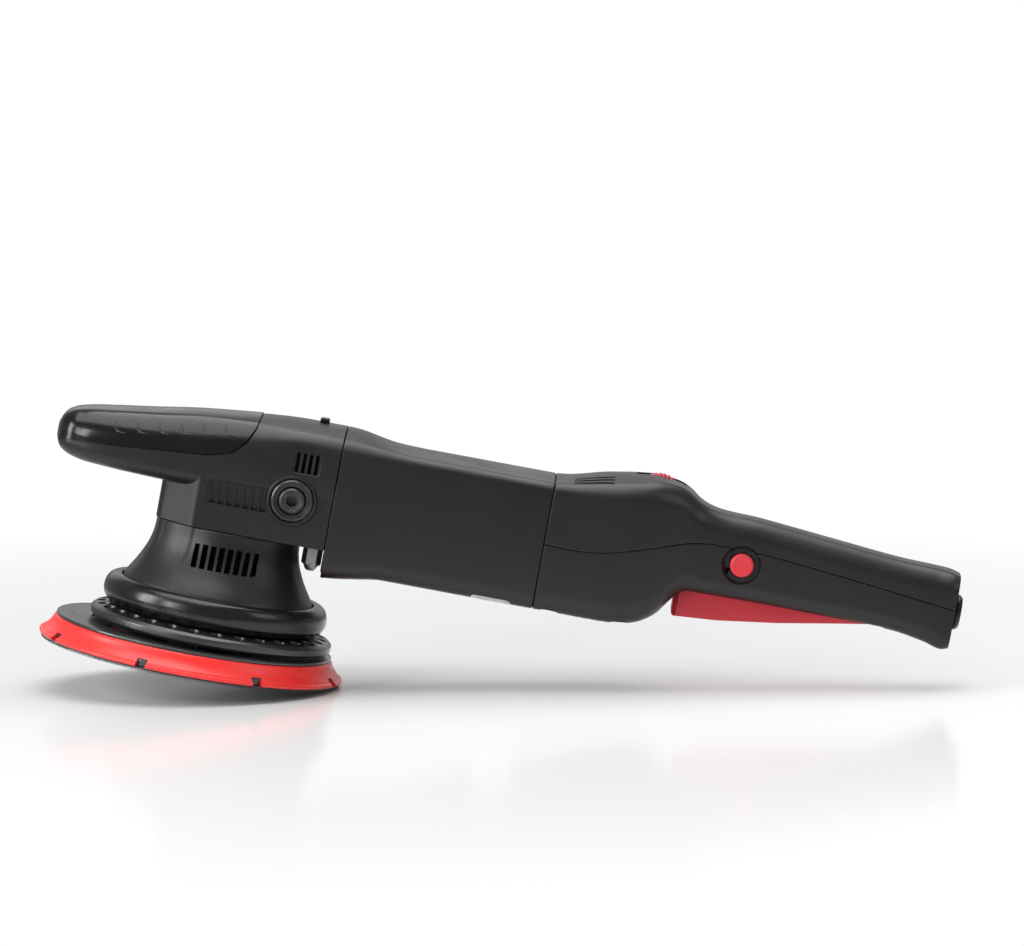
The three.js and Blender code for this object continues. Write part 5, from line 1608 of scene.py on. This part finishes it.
def tail_shells():
    """Both halves of the tail with their openings, screws and the gland."""
    dial = joint_place("speed_dial_turn")
    radius = (node_box("speed_dial")[1][0] - node_box("speed_dial")[0][0]) / 2
    dial_half = node_box("speed_dial")[1][1]
    upper = half_shell("tail_upper_skin", True)
    opening = box_tool(
        dial[0] - radius - 1.2,
        dial[0] + radius + 1.2,
        -dial_half - 0.6,
        dial_half + 0.6,
        dial[2] - 2,
        CASING_TOP + 20,
        1.2,
    )
    slots = []
    for y in (-23, -18.5, -14, 14, 18.5, 23):
        slots.append(
            box_tool(TAIL_FRONT + 8.7, TAIL_FRONT + 28.2, y - 1.05, y + 1.05,
                     CASING_TOP - 8, CASING_TOP + 14, 0.8)
        )
    button_low, button_high = node_box("lock_button")
    button_x = (button_low[0] + button_high[0]) / 2
    button_z = (button_low[2] + button_high[2]) / 2
    button_r = (button_high[0] - button_low[0]) / 2

    def button_tool():
        outline = [
            [0, -9],
            [button_r + 0.45, -9],
            [button_r + 0.45, -15.6],
            [button_r + 2.7, -15.6],
            [button_r + 3.2, -16.1],
            [button_r + 3.5, -17.5],
            [button_r + 4.6, -18.6],
            [button_r + 4.7, -24],
            [0, -24],
        ]
        return turned("button_tool", outline, "y", (button_x, 0, button_z), 64)

    gland_low, gland_high = node_box("cord_gland")
    gland_z = (gland_low[2] + gland_high[2]) / 2
    gland_r = (gland_high[1] - gland_low[1]) / 2

    def gland_tool():
        outline = [[0, TAIL_END - 12], [gland_r + 0.3, TAIL_END - 12],
                   [gland_r + 0.3, TAIL_END + 3], [0, TAIL_END + 3]]
        return turned("gland_tool", outline, "x", (0, 0, gland_z), 48)

    carve(upper, gathered("upper_cuts", opening, *slots, gland_tool()))
    carve(upper, button_tool())
    dress(upper, "casing_tail", "tail_upper_shell")

    lower = half_shell("tail_lower_skin", False)
    trigger_low, trigger_high = node_box("trigger")
    mouth = box_tool(trigger_low[0] - 2.0, trigger_high[0] + 1.2, trigger_low[1] - 0.6,
                     trigger_high[1] + 0.6, 60, HANDLE_BOTTOM + WALL + 2, 1.0)
    intake = [
        box_tool(TAIL_FRONT + 9.7 + 4.2 * k, TAIL_FRONT + 11.9 + 4.2 * k, -reach, reach, 40,
                 CASING_BOTTOM + 5, 0.9)
        for k, reach in enumerate((15, 23, 23, 23, 23))
    ]
    wells = []
    for number in range(1, 5):
        low, high = node_box(f"tail_screw_{number}")
        x, y = (low[0] + high[0]) / 2, (low[1] + high[1]) / 2
        well_top = low[2] + 3.2
        outline = [[0, 40], [4.9, 40], [4.9, CASING_BOTTOM + 0.6], [4.1, CASING_BOTTOM + 1.6],
                   [4.1, well_top], [0, well_top]]
        wells.append(turned("well", outline, centre=(x, y, 0), segments=40))
    carve(lower, gathered("lower_cuts", mouth, *intake, gland_tool(), *wells))
    screen("tail_screen", TAIL_FRONT + 8, TAIL_FRONT + 31, -20, 20, CASING_BOTTOM + 5.6, lying=True)
    carve(lower, button_tool())
    dress(lower, "casing_tail", "tail_lower_shell")

    profile = rounded(
        [
            [4.4, TAIL_END - 10],
            [gland_r - 2, TAIL_END - 10],
            [gland_r - 2, TAIL_END - 8],
            [gland_r, TAIL_END - 8],
            [gland_r, TAIL_END + 0.2],
            [gland_r - 1.0, TAIL_END + 0.6],
            [gland_r, TAIL_END + 1.1],
            [gland_r, TAIL_END + 2.2],
            [gland_r - 1.2, gland_high[0]],
            [4.4, gland_high[0]],
        ],
        [0.3, 0.3, 0.3, 0.3, 0.4, 0.4, 0.4, 0.4, 0.5, 0.6],
        4,
    )
    gland = turned("cord_gland_skin", profile, "x", (0, 0, gland_z), 72)
    dress(gland, "grip", "cord_gland")
    tail_screws()


def tail_screws():
    """Pan-head screws with a cross recess, up in their wells."""
    for number in range(1, 5):
        name = f"tail_screw_{number}"
        low, high = node_box(name)
        x, y = (low[0] + high[0]) / 2, (low[1] + high[1]) / 2
        radius = (high[0] - low[0]) / 2
        profile = rounded(
            [[0, low[2]], [radius * 0.8, low[2] + 0.25], [radius, low[2] + 1.1],
             [radius, low[2] + 2.6], [1.6, low[2] + 2.6], [1.6, high[2]], [0, high[2]]],
            [0, 0.6, 0.4, 0.2, 0.2, 0.2, 0],
            4,
        )
        screw = turned(f"{name}_skin", profile, centre=(x, y, 0), segments=48)
        cross = [
            box_tool(x - 1.9, x + 1.9, y - 0.35, y + 0.35, low[2] - 1, low[2] + 1.3),
            box_tool(x - 0.35, x + 0.35, y - 1.9, y + 1.9, low[2] - 1, low[2] + 1.301),
        ]
        for tool in cross:
            carve(screw, tool)
        dress(screw, "blackened", name)


# ---------------------------------------------------------------- bosses, pin and controls
def side_bosses():
    """The two threaded side bosses, each with its stepped ring and hex socket plug."""
    for side, sign in (("left", 1), ("right", -1)):
        low, high = node_box(f"handle_boss_{side}")
        x, z = (low[0] + high[0]) / 2, (low[2] + high[2]) / 2
        radius = (high[0] - low[0]) / 2
        face = high[1] if sign > 0 else -low[1]
        back = low[1] if sign > 0 else -high[1]
        plug_low, plug_high = node_box(f"handle_plug_{side}")
        plug_r = (plug_high[0] - plug_low[0]) / 2
        plug_face = plug_high[1] if sign > 0 else -plug_low[1]
        plug_back = plug_low[1] if sign > 0 else -plug_high[1]
        seat = plug_back + 8
        ring = rounded(
            [
                [4.3, back],
                [7.6, back],
                [7.6, face - 4.0],
                [radius, face - 4.0],
                [radius, face - 0.9],
                [radius - 1.0, face],
                [radius - 1.9, face],
                [radius - 2.3, face - 0.7],
                [plug_r + 0.9, face - 0.7],
                [plug_r + 0.75, face - 1.2],
                [plug_r + 0.75, seat - 0.3],
                [4.3, seat - 0.3],
            ],
            [0.2, 0.2, 0.2, 0.2, 0.5, 0.4, 0.3, 0.3, 0.3, 0.3, 0.1, 0.1],
            4,
        )
        ring[:, 1] *= sign
        boss = turned(f"side_boss_{side}", ring, "y", (x, 0, z), 96)
        dress(boss, "nylon", f"handle_boss_{side}")
        plug = rounded(
            [
                [0, plug_back],
                [4, plug_back],
                [4, seat],
                [plug_r, seat],
                [plug_r, plug_face - 0.9],
                [plug_r - 0.9, plug_face],
                [plug_r - 1.7, plug_face],
                [plug_r - 2.0, plug_face - 0.45],
                [0, plug_face - 0.45],
            ],
            [0, 0.3, 0.1, 0.1, 0.4, 0.4, 0.2, 0.2, 0],
            4,
        )
        plug[:, 1] *= sign
        screw = turned(f"side_plug_{side}", plug, "y", (x, 0, z), 96)
        hexagon = turned(
            "hexagon",
            [[0, sign * (seat - 1.2)], [2.9, sign * (seat - 1.2)], [2.9, sign * (plug_face - 0.7)],
             [3.5, sign * (plug_face + 1)], [0, sign * (plug_face + 1)]],
            "y",
            (x, 0, z),
            6,
        )
        carve(screw, hexagon)
        dress(screw, "blackened", f"handle_plug_{side}")


def shaft_lock():
    """The shaft lock under the head: a hexagonal collar and its round-nosed pin."""
    low, high = node_box("lock_pin")
    x = (low[0] + high[0]) / 2
    body = (high[0] - low[0]) / 2
    shoulder = BELL_TOP + 0.2
    pin = rounded(
        [[0, low[2]], [2.2, low[2] + 0.3], [body, low[2] + 2.6], [body, low[2] + 5.2],
         [body - 0.35, low[2] + 5.6], [body, low[2] + 6.0], [body, shoulder], [2, shoulder],
         [2, high[2]], [0, high[2]]],
        [0, 1.2, 1.6, 0.2, 0.2, 0.2, 0.3, 0.2, 0.3, 0],
        5,
    )
    dress(turned("lock_pin_skin", pin, centre=(x, 0, 0), segments=72), "pin_steel", "lock_pin")
    collar_low, collar_high = node_box("lock_collar")
    outer = (collar_high[1] - collar_low[1]) / 2
    ring = rounded(
        [[body + 0.3, collar_low[2]], [outer - 0.7, collar_low[2]], [outer, collar_low[2] + 0.8],
         [outer, collar_high[2]], [body + 0.3, collar_high[2]]],
        [0.3, 0.3, 0.3, 0.2, 0.1],
        4,
    )

    def six_flats(angle, radius, height):
        turn = np.mod(angle, math.pi / 3) - math.pi / 6
        flat = outer * math.cos(math.pi / 6) / np.cos(turn)
        return np.where(radius > body + 1, np.minimum(flat - 0.12, radius) - radius, 0)

    collar = turned(
        "lock_collar_skin", ring, centre=(x, 0, 0), segments=144, wobble=six_flats
    )
    dress(collar, "pin_steel", "lock_collar")


def controls():
    """The trigger, the lock button, the speed dial and the bumper on top of the head."""
    px, _, pz = joint_place("trigger_pull")
    low, high = node_box("trigger")
    top = 82.6
    outline = rounded(
        [
            [low[0], low[2]],
            [low[0] + 22, low[2] + 1.6],
            [low[0] + 52, low[2] + 5.8],
            [low[0] + 80, low[2] + 10.8],
            [px + 3, 80],
            [high[0], pz],
            [px + 2.4, high[2]],
            [px - 2.4, high[2]],
            [px - 8, top],
            [low[0], top],
        ],
        [1.6, 60, 60, 40, 3, 2, 2, 2, 3, 1.2],
        6,
    )
    paddle = extruded("trigger_paddle", outline, low[1], high[1], 0.8, 5)
    chamfer = 3.0
    corners = []
    for side in (-1, 1):
        flat = np.array([[-4.3, 0], [0, -4.3], [4.3, 0], [0, 4.3]])
        flat += [low[0] - 1.05, side * (high[1] + 1.05)]
        rings = [np.column_stack([flat, np.full(4, z)]) for z in (50, 95)]
        corners.append(skin("corner_tool", np.array(rings)))
    pocket = box_tool(low[0] + chamfer, px - 12, low[1] + 2.4, high[1] - 2.4, top - 5.8, top + 4, 1)
    pin_hole = turned("pin_hole", [[0, -20], [2.5, -20], [2.5, 20], [0, 20]], "y", (px, 0, pz), 32)
    carve(paddle, gathered("trigger_cuts", *corners, pocket, pin_hole))
    dress(paddle, "red_plastic", "trigger")

    low, high = node_box("lock_button")
    radius = (high[0] - low[0]) / 2
    button = rounded(
        [
            [0, low[1] + 0.35],
            [radius * 0.62, low[1] + 0.25],
            [radius - 0.9, low[1]],
            [radius, low[1] + 1.0],
            [radius, low[1] + 4.4],
            [2.2, low[1] + 4.4],
            [2.2, high[1]],
            [0, high[1]],
        ],
        [0, 1.5, 0.9, 0.7, 0.2, 0.2, 0.2, 0],
        5,
    )
    centre = ((low[0] + high[0]) / 2, 0, (low[2] + high[2]) / 2)
    dress(turned("lock_button_skin", button, "y", centre, 96), "red_button", "lock_button")

    low, high = node_box("speed_dial")
    radius = (high[0] - low[0]) / 2
    half = high[1]
    wheel = rounded(
        [[2.2, -half], [radius - 1.4, -half], [radius, -half + 1], [radius, half - 1],
         [radius - 1.4, half], [2.2, half]],
        [0.2, 0.5, 0.4, 0.4, 0.5, 0.2],
        4,
    )

    def knurl(angle, radius_here, _):
        rim = radius_here > radius - 1.6
        return -0.55 * rim * (0.5 + 0.5 * np.cos(32 * angle)) ** 2

    dial_place = joint_place("speed_dial_turn")
    dial = turned("speed_dial_skin", wheel, "y", dial_place, 384, wobble=knurl)
    dress(dial, "red_plastic", "speed_dial")

    low, high = node_box("top_bumper")
    outline = rounded(
        [[low[0], low[2]], [high[0], low[2]], [high[0], high[2]], [low[0], high[2]]],
        [0.2, 0.2, 0.9, 0.9],
        5,
    )
    dress(extruded("bumper", outline, low[1], high[1], 0.7, 5), "grip", "top_bumper")


# ---------------------------------------------------------------- what stays as the frame has it
INNER = {
    "steel": "steel",
    "dark_steel": "blackened",
    "cast_aluminium": "aluminium",
    "copper": "copper",
    "brass": "brass",
    "carbon": "carbon",
    "white_plastic": "white_nylon",
    "black_nylon": "nylon",
    "black_plastic": "casing",
    "grip_rubber": "grip",
}


def inner_parts():
    """Every CAD node that still shows gets the finish of its slot."""
    for part in frame["record"]["subparts"]:
        node = frame["nodes"][part["node"]]
        if part["material_slot"] in INNER:
            node.data.materials.clear()
            node.data.materials.append(MATERIALS[INNER[part["material_slot"]]])


bpy.context.scene.view_settings.view_transform = "Standard"
stand()
lights()
backing_plate()
vent_ring()
rubber_boot()
bell()
head_cover()
nose_grip()
motor_housing()
tail_shells()
side_bosses()
shaft_lock()
controls()
inner_parts()
